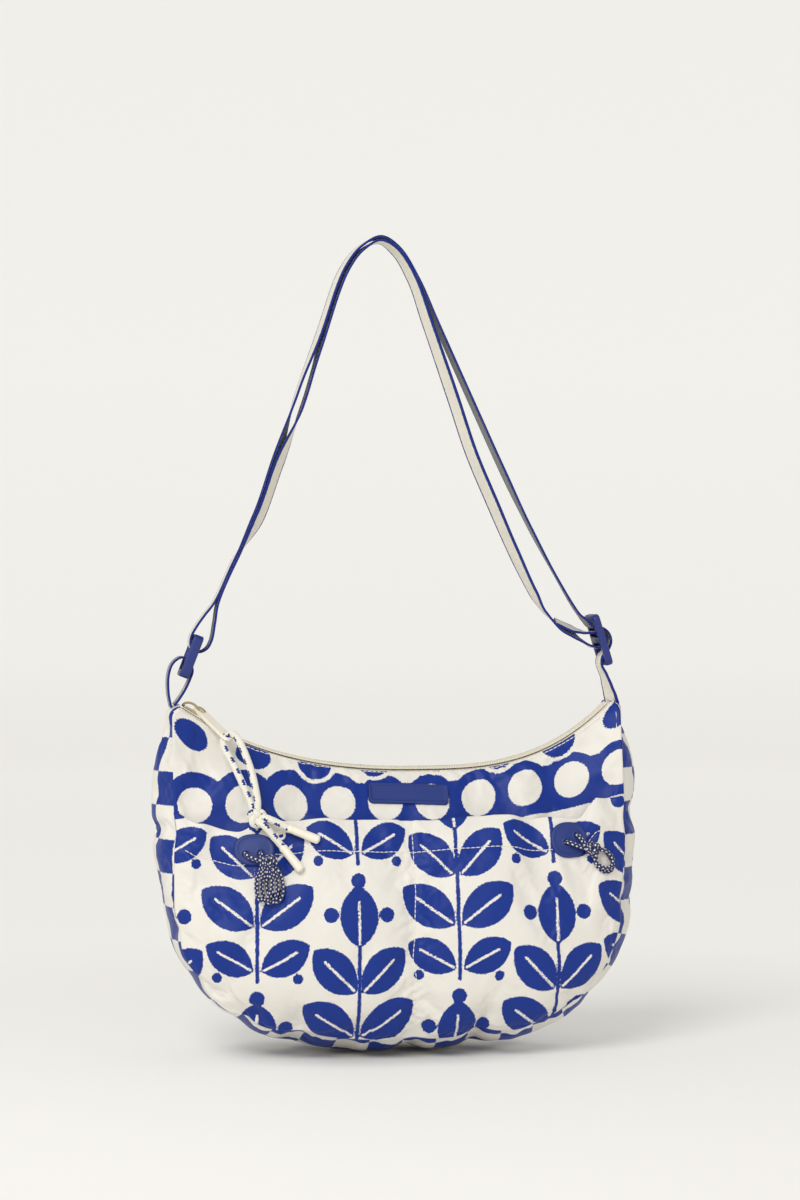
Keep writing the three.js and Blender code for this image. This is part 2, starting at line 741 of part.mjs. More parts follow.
// Drawcords: two strands from the tab's holes to a knot, with a loop beyond it.
// Each place is an x and z of the pocket and the cord's height over it.
const DRAWCORDS = [
  {
    name: "left",
    knot: { x: -93, z: 125.5, lift: 6.4 },
    knotRadius: 4.5,
    strands: [
      [
        { x: -109, z: 132, lift: 1 },
        { x: -109, z: 132, lift: 3.6 },
        { x: -107, z: 130, lift: 6 },
        { x: -100, z: 127, lift: 6.2 },
      ],
      [
        { x: -99, z: 132.5, lift: 1 },
        { x: -99, z: 132.5, lift: 3.6 },
        { x: -97.6, z: 131, lift: 6 },
      ],
    ],
    loop: [
      { x: -87.5, z: 121, lift: 3.6 },
      { x: -84.5, z: 113, lift: 2.2 },
      { x: -88, z: 105, lift: 2.2 },
      { x: -95, z: 102.5, lift: 2.2 },
      { x: -98.5, z: 109, lift: 2.2 },
      { x: -96.5, z: 118, lift: 3.6 },
    ],
  },
  {
    name: "right",
    knot: { x: 130, z: 131.5, lift: 6.6 },
    knotRadius: 4.5,
    strands: [
      [
        { x: 112.6, z: 137, lift: 1 },
        { x: 112.6, z: 137, lift: 3.6 },
        { x: 114.6, z: 135.8, lift: 6.2 },
        { x: 122, z: 133, lift: 7 },
      ],
      [
        { x: 120.3, z: 141.8, lift: 1 },
        { x: 120.3, z: 141.8, lift: 3.6 },
        { x: 122, z: 140.4, lift: 6.2 },
      ],
    ],
    loop: [
      { x: 136, z: 132, lift: 5 },
      { x: 142, z: 129, lift: 2.6 },
      { x: 144.5, z: 123, lift: 2.2 },
      { x: 141, z: 117, lift: 2.2 },
      { x: 136.5, z: 119.5, lift: 2.2 },
      { x: 134, z: 126, lift: 4 },
    ],
  },
];

function drawcord({ knot, knotRadius, strands, loop }) {
  const over = ({ x, z, lift }) => outFrom(pocketOuter, x, z, lift);
  const cord = (rows, steps) => tube(rows.map(over), DRAWCORD.diameter, DRAWCORD.sides, steps);
  const middle = over(knot);
  const ball = new THREE.SphereGeometry(knotRadius, 10, 7).translate(middle.x, middle.y, middle.z);
  const ends = strands.map((rows) => cord([...rows, knot], DRAWCORD.strandSteps));
  return joined([ball, ...ends, cord([knot, ...loop, knot], DRAWCORD.loopSteps)]);
}

for (const row of DRAWCORDS) addMesh(`drawcord_${row.name}`, drawcord(row), COLOURS.navy, 0.8);

// Eyelet in the pocket's hem
const EYELET = { x: -85, z: 144.5, diameter: 7, hole: 3, thick: 1.2, bevel: 0.3 };

function eyelet() {
  const shape = new THREE.Shape().absarc(0, 0, EYELET.diameter / 2, 0, 2 * Math.PI, false);
  shape.holes.push(new THREE.Path().absarc(0, 0, EYELET.hole / 2, 0, 2 * Math.PI, true));
  return laidOn(pocketOuter, plate(shape, EYELET.thick, EYELET.bevel), EYELET.x, EYELET.z, 0, EYELET.thick);
}

addMesh("hem_eyelet", eyelet(), COLOURS.bone, 0.45);

// Strap fittings, flat frames whose bars run across the webbing
const RING = { x: -143.5, z: 266, lean: 21, length: 31, width: 31, bar: 5, thick: 7 };
const GLIDE = { x: 145, z: 277, lean: -17, length: 37, width: 31, bar: 5, thick: 5 };
const FITTING = { corner: 4, bevel: 0.8, endRelief: 0.6 };
const along = (fitting) => vector(Math.sin(degToRad(fitting.lean)), 0, Math.cos(degToRad(fitting.lean)));
const aside = (fitting) => vector(Math.cos(degToRad(fitting.lean)), 0, -Math.sin(degToRad(fitting.lean)));

// A frame with windows between its bars, seen with the bars along X
function barFrame(fitting, windows) {
  const shape = roundedOutline(new THREE.Shape(), fitting.width, fitting.length, FITTING.corner);
  const pitch = (fitting.length - fitting.bar) / windows;
  for (let k = 0; k < windows; k++) {
    const middle = (k + 0.5) * pitch - (fitting.length - fitting.bar) / 2;
    const w = fitting.width / 2 - fitting.bar + FITTING.endRelief;
    const h = (pitch - fitting.bar) / 2;
    const window = new THREE.Path();
    window.moveTo(-w, middle - h);
    window.lineTo(-w, middle + h);
    window.lineTo(w, middle + h);
    window.lineTo(w, middle - h);
    shape.holes.push(window);
  }
  return plate(shape, fitting.thick, FITTING.bevel);
}

for (const [name, fitting, windows] of [["strap_ring", RING, 1], ["strap_slider", GLIDE, 2]]) {
  const mesh = addMesh(name, barFrame(fitting, windows), COLOURS.plasticBlue, 0.45);
  place(mesh, vector(fitting.x, 0, fitting.z), vector(0, 1, 0), along(fitting));
}

// Rows given across and along a fitting, as rows of the bag's frame
function fromFitting(fitting, rows) {
  return rows.map(({ out, up, twist }) => {
    const point = vector(fitting.x, 0, fitting.z)
      .addScaledVector(aside(fitting), out)
      .addScaledVector(along(fitting), up);
    return { x: point.x, z: point.z, twist };
  });
}

// The strap is one length of webbing. It starts at the right corner, goes over the slider's middle bar,
// up the outer line, round the ring, back under the outer line, and ends sewn round the slider's bar.
const STRAP_START = [
  { x: 153.5, z: 237, twist: 14 },
  { x: 151.4, z: 244, twist: 9 },
  { x: 148.8, z: 252, twist: 3 },
];
const OVER_GLIDE = fromFitting(GLIDE, [
  { out: -4.6, up: -17 },
  { out: -2.4, up: -11.6 },
  { out: 3, up: -8 },
  { out: 6.2, up: -4 },
  { out: 7, up: 0 },
  { out: 6.2, up: 4 },
  { out: 3, up: 8 },
  { out: -3, up: 10.6 },
  { out: -5.6, up: 16 },
]);
const OUTER_LINE = [
  { x: 129.5, z: 296.5, twist: -6 },
  { x: 113.5, z: 323, twist: -8 },
  { x: 95, z: 357, twist: -4 },
  { x: 76.5, z: 395 },
  { x: 54, z: 444 },
  { x: 28.5, z: 500 },
  { x: 15.5, z: 529 },
  { x: 1.5, z: 551 },
  { x: -11, z: 558.4 },
  { x: -25, z: 552, twist: -4 },
  { x: -37.5, z: 536, twist: -6 },
  { x: -54, z: 490, twist: -6 },
  { x: -69, z: 450 },
  { x: -85.2, z: 397.8, twist: 22 },
  { x: -97.7, z: 361.8, twist: 22 },
  { x: -114, z: 332 },
];
const ROUND_RING = fromFitting(RING, [
  { out: 1.7, up: 41 },
  { out: -1.5, up: 30 },
  { out: -4, up: 20 },
  { out: -4.8, up: 12.5 },
  { out: -2.6, up: 6.4 },
  { out: 3.5, up: 4.6 },
  { out: 8, up: 8.6 },
  { out: 9.2, up: 15 },
  { out: 6.9, up: 28 },
  { out: 4.3, up: 41 },
]);
const INNER_LINE = [
  { x: -111.5, z: 333.5 },
  { x: -95.2, z: 363, twist: -22 },
  { x: -82.3, z: 398.8, twist: -22 },
  { x: -66, z: 439 },
  { x: -58, z: 465 },
  { x: -51.2, z: 489, twist: 6 },
  { x: -35.1, z: 534.6, twist: 6 },
  { x: -23.6, z: 549.6, twist: 4 },
  { x: -11, z: 555.8 },
  { x: 0.2, z: 548.8, twist: -7 },
  { x: 12, z: 529.5, twist: -10 },
  { x: 22.5, z: 500, twist: -12 },
  { x: 40.5, z: 448, twist: -14 },
  { x: 54, z: 408, twist: -14 },
  { x: 68.5, z: 374, twist: -14 },
  { x: 83, z: 341, twist: -12 },
  { x: 97.5, z: 311, twist: -7 },
  { x: 106, z: 297, twist: 4 },
];
const SEWN_END = fromFitting(GLIDE, [
  { out: -23, up: 15.4, twist: 13 },
  { out: -17, up: 9.3, twist: 14 },
  { out: -11, up: 2, twist: 7 },
  { out: -5, up: -3.8 },
  { out: 0.4, up: -5.4 },
  { out: 3.3, up: -3.2 },
  { out: 3.75, up: 0 },
  { out: 3.3, up: 3.2 },
  { out: 0.4, up: 5.4 },
  { out: -5, up: 6.6 },
  { out: -11, up: 9.5, twist: -7 },
  { out: -17, up: 13.6, twist: -14 },
  { out: -23, up: 18.8, twist: -13 },
  { out: -26, up: 21.6, twist: -13 },
]);

addMesh(
  "strap",
  band([...STRAP_START, ...OVER_GLIDE, ...OUTER_LINE, ...ROUND_RING, ...INNER_LINE, ...SEWN_END]),
  COLOURS.cream,
  0.7,
);

// The left corner's loop of webbing holds the ring's lower bar
const ANCHOR_ROWS = [
  { x: -157.4, z: 231.2 },
  { x: -159.2, z: 241 },
  { x: -159, z: 253.5 },
  { x: -156, z: 261.5 },
  { x: -150, z: 265.4 },
  { x: -144.6, z: 262.6 },
  { x: -142.6, z: 256.3 },
  { x: -144.3, z: 250.4 },
  { x: -147.5, z: 243.5 },
  { x: -151.8, z: 236.6 },
  { x: -155, z: 232.4 },
];
addMesh("anchor_loop", band(ANCHOR_ROWS), COLOURS.cream, 0.7);

// The origin: the underside of the strap's inner line at its top
const topRow = INNER_LINE.reduce((best, row) => (row.z > best.z ? row : best));
bag.position.set(-topRow.x, 0, WEBBING.thick / 2 - topRow.z);

const root = new THREE.Group();
root.add(bag);
export default root;
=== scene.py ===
"""Crescent shoulder bag: cloth, webbing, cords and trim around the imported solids.

Shapes are worked out in millimetres in the bag's own frame (x right, y back, z up, z = 0 at the lowest
point of the panel seams) and are put into the row's frame, in metres, when a piece is made.
"""

import math

import bpy
import numpy as np
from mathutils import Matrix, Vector
from mathutils.bvhtree import BVHTree

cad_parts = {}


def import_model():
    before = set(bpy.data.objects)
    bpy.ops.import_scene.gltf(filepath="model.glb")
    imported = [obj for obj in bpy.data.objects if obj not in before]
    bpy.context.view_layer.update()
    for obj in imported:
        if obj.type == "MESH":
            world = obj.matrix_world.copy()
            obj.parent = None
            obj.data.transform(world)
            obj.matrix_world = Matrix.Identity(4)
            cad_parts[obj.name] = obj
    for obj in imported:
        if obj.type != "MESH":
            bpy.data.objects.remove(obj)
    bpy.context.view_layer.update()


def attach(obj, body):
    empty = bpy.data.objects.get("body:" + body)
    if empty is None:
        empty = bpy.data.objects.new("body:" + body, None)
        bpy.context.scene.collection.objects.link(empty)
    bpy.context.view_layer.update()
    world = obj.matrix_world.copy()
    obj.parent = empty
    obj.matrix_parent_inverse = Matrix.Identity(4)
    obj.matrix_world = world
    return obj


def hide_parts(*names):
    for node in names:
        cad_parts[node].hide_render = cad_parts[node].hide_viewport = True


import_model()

# Sizes shared with the solids

MM = 0.001
BAG_ORIGIN = np.array((11.0, 0.0, -555.0))
FRONT = -1
BACK = 1
CLOTH = 1.2
GAP = 0.35

HALF_WIDTH = 157.0
LEFT_TOP = 230.0
RIGHT_TOP = 233.0
CORNER_RADIUS = 92.0
BOTTOM_RADIUS = 420.0
SHOULDER_RADIUS = 6.0
HALF_DEPTH_BOTTOM = 42.0
HALF_DEPTH_TOP = 15.0
DEPTH_POWER = 2.2
CROWN = 20.0
CROWN_POWER = 2.4

ZIP_LOW = 188.5
ZIP_LOW_X = 12.0
ZIP_LEFT_POWER = 2.4
ZIP_RIGHT_POWER = 3.0
ZIP_FRONT_DROP = 3.0
ZIP_EDGE_HALF = 8.0
ZIP_END_POWER = 8
ZIP_TAPE_DROP = 0.9
ZIP_COIL_WIDTH = 6.0
ZIP_COIL_RISE = 1.7
ZIP_END_CLEARANCE = 0.8

POCKET_MIDDLE = 5.0
POCKET_REST = 0.7
POCKET_PUFF = 9.0
POCKET_LOBE_POWER = 0.7
POCKET_FULL_AT = 0.45
POCKET_MOUTH = 0.6

# Pocket hem: x and height
HEM_ROWS = np.array((
    (-157, 159), (-139, 151), (-113, 145), (-98, 151), (100, 152), (122, 151), (137, 165), (157, 167),
), float)
# Front seam tucks: share of the seam, depth, reach
PUCKERS = (
    (0.125, 1.5, 9), (0.221, 2, 8), (0.271, 2.5, 9), (0.336, 4, 9), (0.395, 2, 10), (0.507, 2, 9),
    (0.572, 5.5, 9), (0.613, -2, 10), (0.701, 2.5, 9), (0.798, 2, 8), (0.88, 1.5, 9),
)
# Upper front panel dents: x, z, depth, reach
DENTS = ((-70, 174, 4, 22), (62, 172, 5, 24), (112, 182, 5, 18))
# Pocket gathers under the hem: x, depth, reach, length
GATHERS = ((-128, 2, 9, 40), (-78, 2, 9, 34), (92, 2, 9, 36), (138, -3, 10, 40))

# Front seam's lift in from the outline: share of the seam and height
LIFTS = np.array(((0, 0), (0.3, 0), (0.4, 4.5), (0.72, 4.5), (0.8, 4), (0.88, 0), (1, 0)), float)
# Gusset bulge beyond the seams: share of the seam and height
BULGES = np.array((
    (0, 2.5), (0.08, 11), (0.125, 11), (0.21, 3), (0.3, 2.5), (0.42, 9.5),
    (0.7, 9.5), (0.8, 11), (0.87, 11), (0.92, 11), (1, 2.5),
), float)
GUSSET_ROUNDNESS = 0.75

SLIDER_X = -145.0
SLIDER_LENGTH = 14.0
SLIDER_WIDTH = 9.0
SLIDER_THICK = 1.8
BAIL_RADIUS = 6.4
BAIL_RISE = 4.6
BAIL_WIRE = 1.6
BAIL_THREAD = math.radians(17)
TAB_PITCH = 33.0
TAB_WIDTH = 9.0
TAB_THICK = 2.5
TAB_END = 4.8
TAB_SLOT = (7.0, 5.0, 2.0)
TAB_HOLE = 5.9
# The pull tab's direction as shares of forwards, along the zip and down into it
TAB_LEAN = (0.7, 0.69, 0.17)

ROPE = 5.0
SLEEVE = 6.2
KNOT = (-101.7, -46.5, 157.0)
LEFT_STRAND = (
    (-120.3, -23.15, 211.1), (-122.6, -23.6, 208.3), (-122.2, -26.5, 204.2), (-117.5, -30.5, 195),
    (-110.5, -37.5, 179.5), (-105, -43, 166),
)
RIGHT_STRAND = (
    (-120.3, -23.15, 211.1), (-117.4, -23.6, 213.4), (-114.5, -26.6, 211.9), (-111.4, -30.2, 207),
    (-104.5, -37.5, 188), (-101, -44, 169),
)
LOW_TAIL = ((-97, -50.5, 152), (-91, -50.4, 145), (-85, -50.5, 138))
LOW_SLEEVE = ((-84.5, -50.7, 137.3), (-71.8, -55.6, 121.5))
HIGH_TAIL = ((-95, -50, 157), (-88, -49.8, 154), (-81, -48.6, 150.5))
HIGH_SLEEVE = ((-80.2, -48.6, 150.2), (-59, -50.4, 141.5))

# Badge: x, z, width, height, turn in degrees
BADGE = (6.0, 170.0, 56.0, 13.0, -2.0)
# Cord tabs: x, z, width, height, and the x and z of their holes
LEFT_TAB = (-103.0, 135.0, 28.0, 21.0, ((-109, 132), (-99, 132.5)))
RIGHT_TAB = (115.0, 139.0, 26.0, 24.0, ((112.6, 137), (120.3, 141.8)))
TAB_HOLE_RADIUS = 1.8
# Eyelet: x, z, radius
EYELET = (-85.0, 144.5, 3.5)

DRAWCORD = 2.8
# Drawcords as x, z and height over the pocket, with loops as x, z, lean, half length, half width and height
LEFT_DRAWCORD = {
    "out": ((-109, 132, 1), (-109, 132, 3.6), (-107, 130, 6), (-100, 127, 6.2)),
    "knot": (-93, 125.5, 6.4),
    "loops": (
        (-90, 111, 5, 10.5, 5.2, 2.2), (-93.4, 110.5, 0, 10.8, 5.2, 4.8), (-96.8, 111, -5, 10.5, 5.2, 7),
    ),
    "back": ((-97.8, 126, 7.6), (-98.6, 131, 6), (-99, 132.5, 3.6), (-99, 132.5, 1)),
}
RIGHT_DRAWCORD = {
    "out": ((112.6, 137, 1), (112.6, 137, 3.6), (114.6, 135.8, 6.2), (122, 133, 7)),
    "knot": (130, 131.5, 6.6),
    "loops": ((138.3, 124, 40, 8.2, 5.6, 2.2), (137.2, 125.6, 52, 7.4, 5.4, 4.8)),
    "back": ((125.5, 133, 8.4), (122, 139, 6.2), (120.3, 141.8, 3.6), (120.3, 141.8, 1)),
}

RING = {"x": -143.5, "z": 266, "lean": 21, "length": 31, "width": 31, "bar": 5, "thick": 7, "windows": 1}
GLIDE = {"x": 145, "z": 277, "lean": -17, "length": 37, "width": 31, "bar": 5, "thick": 5, "windows": 2}
FITTING_CORNER = 4.0
WEBBING_WIDTH = 20.0
WEBBING_THICK = 1.6
# Webbing rows: x, z and twist in degrees, or out from and up along a fitting and twist
STRAP_START = ((153.5, 237, 14), (151.4, 244, 9), (148.8, 252, 3))
OVER_GLIDE = (
    (-4.6, -17), (-2.4, -11.6), (3, -8), (6.2, -4), (7, 0), (6.2, 4), (3, 8), (-3, 10.6), (-5.6, 16),
)
OUTER_LINE = (
    (129.5, 296.5, -6), (113.5, 323, -8), (95, 357, -4), (76.5, 395), (54, 444), (28.5, 500), (15.5, 529),
    (1.5, 551), (-11, 558.4), (-25, 552, -4), (-37.5, 536, -6), (-54, 490, -6), (-69, 450),
    (-85.2, 397.8, 22), (-97.7, 361.8, 22), (-114, 332),
)
ROUND_RING = (
    (1.7, 41), (-1.5, 30), (-4, 20), (-4.8, 12.5), (-2.6, 6.4), (3.5, 4.6), (8, 8.6), (9.2, 15),
    (6.9, 28), (4.3, 41),
)
INNER_LINE = (
    (-111.5, 333.5), (-95.2, 363, -22), (-82.3, 398.8, -22), (-66, 439), (-58, 465), (-51.2, 489, 6),
    (-35.1, 534.6, 6), (-23.6, 549.6, 4), (-11, 555.8), (0.2, 548.8, -7), (12, 529.5, -10), (22.5, 500, -12),
    (40.5, 448, -14), (54, 408, -14), (68.5, 374, -14), (83, 341, -12), (97.5, 311, -7), (106, 297, 4),
)
SEWN_END = (
    (-23, 15.4, 13), (-17, 9.3, 14), (-11, 2, 7), (-5, -3.8), (0.4, -5.4), (3.3, -3.2), (3.75, 0), (3.3, 3.2),
    (0.4, 5.4), (-5, 6.6), (-11, 9.5, -7), (-17, 13.6, -14), (-23, 18.8, -13), (-26, 21.6, -13),
)
ANCHOR_ROWS = (
    (-157.4, 231.2), (-159.2, 241), (-159, 253.5), (-156, 261.5), (-150, 265.4), (-144.6, 262.6),
    (-142.6, 256.3), (-144.3, 250.4), (-147.5, 243.5), (-151.8, 236.6), (-155, 232.4),
)

# Colours, as sRGB shares
CREAM = (0.895, 0.879, 0.848)
BLUE = (0.068, 0.19, 0.53)


def world(points):
    """Bag millimetres as row metres."""
    return (np.asarray(points, float) + BAG_ORIGIN) * MM


# Sums


def lerp(a, b, t):
    return a + (b - a) * t


def smoothstep(t, low, high):
    s = np.clip((t - low) / (high - low), 0, 1)
    return s * s * (3 - 2 * s)


def bell(distance, reach):
    return np.exp(-((distance / reach) ** 2))


def between(rows, place):
    """A two-column table's value at a place, eased between its rows."""
    keys, values = rows[:, 0], rows[:, 1]
    at = np.clip(np.searchsorted(keys, place), 1, len(keys) - 1)
    share = smoothstep(place, keys[at - 1], keys[at])
    return lerp(values[at - 1], values[at], share)


def ripple(place, pitch, seed):
    """Smooth seeded noise along a line, from -1 to 1."""
    values = np.random.default_rng(seed).uniform(-1, 1, 512)
    spot = np.asarray(place, float) / pitch + 128
    cell = np.floor(spot).astype(int)
    return lerp(values[cell % 512], values[(cell + 1) % 512], smoothstep(spot - cell, 0, 1))


def lengths_along(points):
    """Lengths from the first row along a line, or down each column of a grid."""
    steps = np.linalg.norm(np.diff(points, axis=0), axis=-1)
    return np.concatenate((np.zeros_like(steps[:1]), np.cumsum(steps, axis=0)))


def points_at(place, lengths, line):
    """A line's points at places along it."""
    return np.stack([np.interp(place, lengths, column) for column in line.T], -1)


def units(vectors):
    return vectors / np.linalg.norm(vectors, axis=-1, keepdims=True)


# Seams

CORNER_X = HALF_WIDTH - CORNER_RADIUS
CORNER_Z = BOTTOM_RADIUS - math.sqrt((BOTTOM_RADIUS - CORNER_RADIUS) ** 2 - CORNER_X**2)
CORNER_LEAN = math.asin(CORNER_X / (BOTTOM_RADIUS - CORNER_RADIUS))
SHOULDER_X = HALF_WIDTH - SHOULDER_RADIUS


def arc(x, z, radius, start, stop):
    angles = np.linspace(start, stop, 400)
    return np.column_stack((x + radius * np.cos(angles), z + radius * np.sin(angles)))


def panel_outline():
    """The panel's outline from its left top corner round the bottom to its right one."""
    down = 1.5 * math.pi
    return np.concatenate((
        arc(-SHOULDER_X, LEFT_TOP - SHOULDER_RADIUS, SHOULDER_RADIUS, math.pi / 2, math.pi),
        arc(-CORNER_X, CORNER_Z, CORNER_RADIUS, math.pi, down - CORNER_LEAN),
        arc(0, BOTTOM_RADIUS, BOTTOM_RADIUS, down - CORNER_LEAN, down + CORNER_LEAN),
        arc(CORNER_X, CORNER_Z, CORNER_RADIUS, down + CORNER_LEAN, 2 * math.pi),
        arc(SHOULDER_X, RIGHT_TOP - SHOULDER_RADIUS, SHOULDER_RADIUS, 0, math.pi / 2),
    ))


OUTLINE = panel_outline()
OUTLINE_LENGTHS = lengths_along(OUTLINE)
SEAM_LENGTH = OUTLINE_LENGTHS[-1]


def down_to_corner(top):
    shoulder = SHOULDER_RADIUS * (math.pi / 2 - 1)
    return (shoulder + top - CORNER_Z + CORNER_RADIUS * math.pi / 4) / SEAM_LENGTH


LEFT_CORNER = down_to_corner(LEFT_TOP)
RIGHT_CORNER = 1 - down_to_corner(RIGHT_TOP)


def outline_at(share):
    return points_at(np.clip(share, 0, 1) * SEAM_LENGTH, OUTLINE_LENGTHS, OUTLINE)


def outward_at(share):
    """The outline's outward direction, as x and z."""
    step = 0.002
    along = units(outline_at(np.minimum(share + step, 1)) - outline_at(np.maximum(share - step, 0)))
    return np.stack((along[..., 1], -along[..., 0]), -1)


def half_depth(z):
    return lerp(HALF_DEPTH_BOTTOM, HALF_DEPTH_TOP, np.clip(z / RIGHT_TOP, 0, 1) ** DEPTH_POWER)


def seam(share, side):
    share = np.asarray(share, float)
    point, out = outline_at(share), outward_at(share)
    tuck = np.zeros_like(share)
    if side == FRONT:
        tuck = between(LIFTS, share)
        for at, depth, reach in PUCKERS:
            tuck = tuck + depth * bell((share - at) * SEAM_LENGTH, reach)
    x = point[..., 0] - out[..., 0] * tuck
    z = point[..., 1] - out[..., 1] * tuck
    return np.stack((x, side * half_depth(point[..., 1]), z), -1)


# Zipped edge


def zip_height(x):
    x = np.asarray(x, float)
    left = x < ZIP_LOW_X
    end = np.where(left, -SHOULDER_X, SHOULDER_X)
    top = np.where(left, LEFT_TOP, RIGHT_TOP)
    share = np.clip((x - ZIP_LOW_X) / (end - ZIP_LOW_X), 0, None)
    return ZIP_LOW + (top - ZIP_LOW) * share ** np.where(left, ZIP_LEFT_POWER, ZIP_RIGHT_POWER)


def zip_surface(x, y):
    drop = ZIP_FRONT_DROP * (1 - (x / SHOULDER_X) ** 4)
    return zip_height(x) - drop * np.clip(0.5 - y / (2 * ZIP_EDGE_HALF), 0, 1)


def zip_lean(x):
    return np.arctan2(zip_surface(x + 0.5, 0) - zip_surface(x - 0.5, 0), 1.0)


def edge_half(x):
    end = np.where(np.asarray(x) < 0, half_depth(LEFT_TOP), half_depth(RIGHT_TOP))
    return lerp(ZIP_EDGE_HALF, end, np.abs(x / SHOULDER_X) ** ZIP_END_POWER)


def top_edge(u, side):
    x = lerp(-SHOULDER_X, SHOULDER_X, np.asarray(u, float))
    y = side * edge_half(x)
    return np.stack((x, y, zip_surface(x, y)), -1)


# Panel and pocket surfaces


def swell(t):
    return 1 - np.abs(2 * t - 1) ** CROWN_POWER


def panel_point(u, v, side):
    u, v = np.broadcast_arrays(np.asarray(u, float), np.asarray(v, float))
    a, b = u[..., None], v[..., None]
    point = seam(lerp(LEFT_CORNER, RIGHT_CORNER, u), side) * (1 - b) + top_edge(u, side) * b
    point = point + seam(LEFT_CORNER * (1 - v), side) * (1 - a) + seam(lerp(RIGHT_CORNER, 1, v), side) * a
    point = point - seam(LEFT_CORNER, side) * (1 - a) * (1 - b) - seam(RIGHT_CORNER, side) * a * (1 - b)
    point = point - top_edge(0, side) * (1 - a) * b - top_edge(1, side) * a * b
    crown = np.full(u.shape, CROWN)
    if side == FRONT:
        for x, z, depth, reach in DENTS:
            crown = crown - depth * bell(np.hypot(point[..., 0] - x, point[..., 2] - z), reach)
    point[..., 1] += side * crown * swell(u) * swell(v)
    return point


def normals_of(points):
    """Unit normals of a grid of points [row, column], by the right hand from columns to rows."""
    normal = np.cross(np.gradient(points, axis=1), np.gradient(points, axis=0))
    return normal / np.maximum(np.linalg.norm(normal, axis=-1, keepdims=True), 1e-9)


HEM_HALVINGS = 26


def hem_row(u):
    """The share of each panel column's height at which the pocket's hem lies."""
    low, high = np.zeros_like(u), np.ones_like(u)
    for _ in range(HEM_HALVINGS):
        half = (low + high) / 2
        point = panel_point(u, half, FRONT)
        under = point[..., 2] < between(HEM_ROWS, point[..., 0])
        low, high = np.where(under, half, low), np.where(under, high, half)
    return low


POCKET_MIDDLE_U = 0.5 + POCKET_MIDDLE / (2 * HALF_WIDTH)


def pocket_gap(u, w, point):
    across = np.where(u < POCKET_MIDDLE_U, u / POCKET_MIDDLE_U, (1 - u) / (1 - POCKET_MIDDLE_U))
    lobe = np.clip(np.sin(np.pi * np.clip(across, 0, 1)), 0, 1) ** POCKET_LOBE_POWER
    rise = np.sin(np.pi / 2 * np.minimum(w / POCKET_FULL_AT, 1))
    fall = lerp(1, POCKET_MOUTH, smoothstep(w, POCKET_FULL_AT, 1))
    gap = POCKET_PUFF * lobe * rise * fall
    hem = between(HEM_ROWS, point[..., 0])
    for x, depth, reach, length in GATHERS:
        gap = gap - depth * bell(point[..., 0] - x, reach) * bell(hem - point[..., 2], length) * lobe
    return POCKET_REST + np.maximum(gap, 0)


# Pieces


def new_object(name, data):
    made = bpy.data.objects.new(name, data)
    bpy.context.scene.collection.objects.link(made)
    return made


def add_piece(name, points, faces, material, nodes=(), uv=None, attributes=None):
    """A smooth mesh from bag millimetres. uv is a pair for each point, in millimetres."""
    mesh = bpy.data.meshes.new(name)
    mesh.from_pydata(world(points).tolist(), [], [list(map(int, face)) for face in faces])
    mesh.validate()
    mesh.polygons.foreach_set("use_smooth", np.ones(len(mesh.polygons), bool))
    if uv is not None:
        loops = np.empty(len(mesh.loops), np.int32)
        mesh.loops.foreach_get("vertex_index", loops)
        layer = mesh.uv_layers.new(name="millimetres")
        layer.data.foreach_set("uv", np.asarray(uv, np.float32)[loops].ravel())
    for key, values in (attributes or {}).items():
        store = mesh.attributes.new(key, "FLOAT", "POINT")
        store.data.foreach_set("value", np.asarray(values, np.float32).ravel())
    piece = new_object(name, mesh)
    mesh.materials.append(material)
    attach(piece, "root")
    if nodes:
        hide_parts(*nodes)
    return piece


def grid_faces(rows, columns, first=0, flip=False):
    """Quads of a grid of points laid row by row."""
    index = first + np.arange(rows * columns).reshape(rows, columns)
    quads = np.stack((index[:-1, :-1], index[:-1, 1:], index[1:, 1:], index[1:, :-1]), -1).reshape(-1, 4)
    return quads[:, ::-1] if flip else quads


def solidify(piece, thickness):
    modifier = piece.modifiers.new("cloth", "SOLIDIFY")
    modifier.thickness = thickness * MM
    modifier.offset = -1
    modifier.use_even_offset = False


# Surfaces that trim lies on


class Ground:
    """A surface seen from the front, for placing trim by x and z."""

    def __init__(self, points):
        rows, columns = points.shape[:2]
        self.tree = BVHTree.FromPolygons(points.reshape(-1, 3).tolist(), grid_faces(rows, columns).tolist())

    def over(self, x, z, lift):
        """The point a height over the surface at x and z."""
        spot, normal, *_ = self.tree.ray_cast(Vector((x, -300, z)), Vector((0, 1, 0)))
        outward = np.array(normal if normal.y < 0 else -normal)
        return np.array(spot) + outward * lift


def unit(vector):
    return np.asarray(vector, float) / np.linalg.norm(vector)


# Lines and sweeps


def smooth_line(points, steps):
    """Points along a centripetal Catmull-Rom line through the given ones, with steps between each two."""
    points = np.asarray(points, float)
    padded = np.concatenate(((2 * points[0] - points[1],), points, (2 * points[-1] - points[-2],)))
    made = []
    for k in range(len(points) - 1):
        p = padded[k : k + 4]
        d = [max(np.linalg.norm(p[i + 1] - p[i]), 1e-6) ** 0.5 for i in range(3)]
        start = (p[1] - p[0]) / d[0] - (p[2] - p[0]) / (d[0] + d[1]) + (p[2] - p[1]) / d[1]
        stop = (p[2] - p[1]) / d[1] - (p[3] - p[1]) / (d[1] + d[2]) + (p[3] - p[2]) / d[2]
        start, stop = start * d[1], stop * d[1]
        for t in np.arange(steps) / steps:
            made.append(
                p[1] + start * t + (3 * (p[2] - p[1]) - 2 * start - stop) * t**2
                + (2 * (p[1] - p[2]) + start + stop) * t**3
            )
    return np.array([*made, points[-1]])


def spaced(line, step):
    """The same line with points a step apart."""
    place = lengths_along(line)
    count = max(2, int(round(place[-1] / step)) + 1)
    return points_at(np.linspace(0, place[-1], count), place, line)


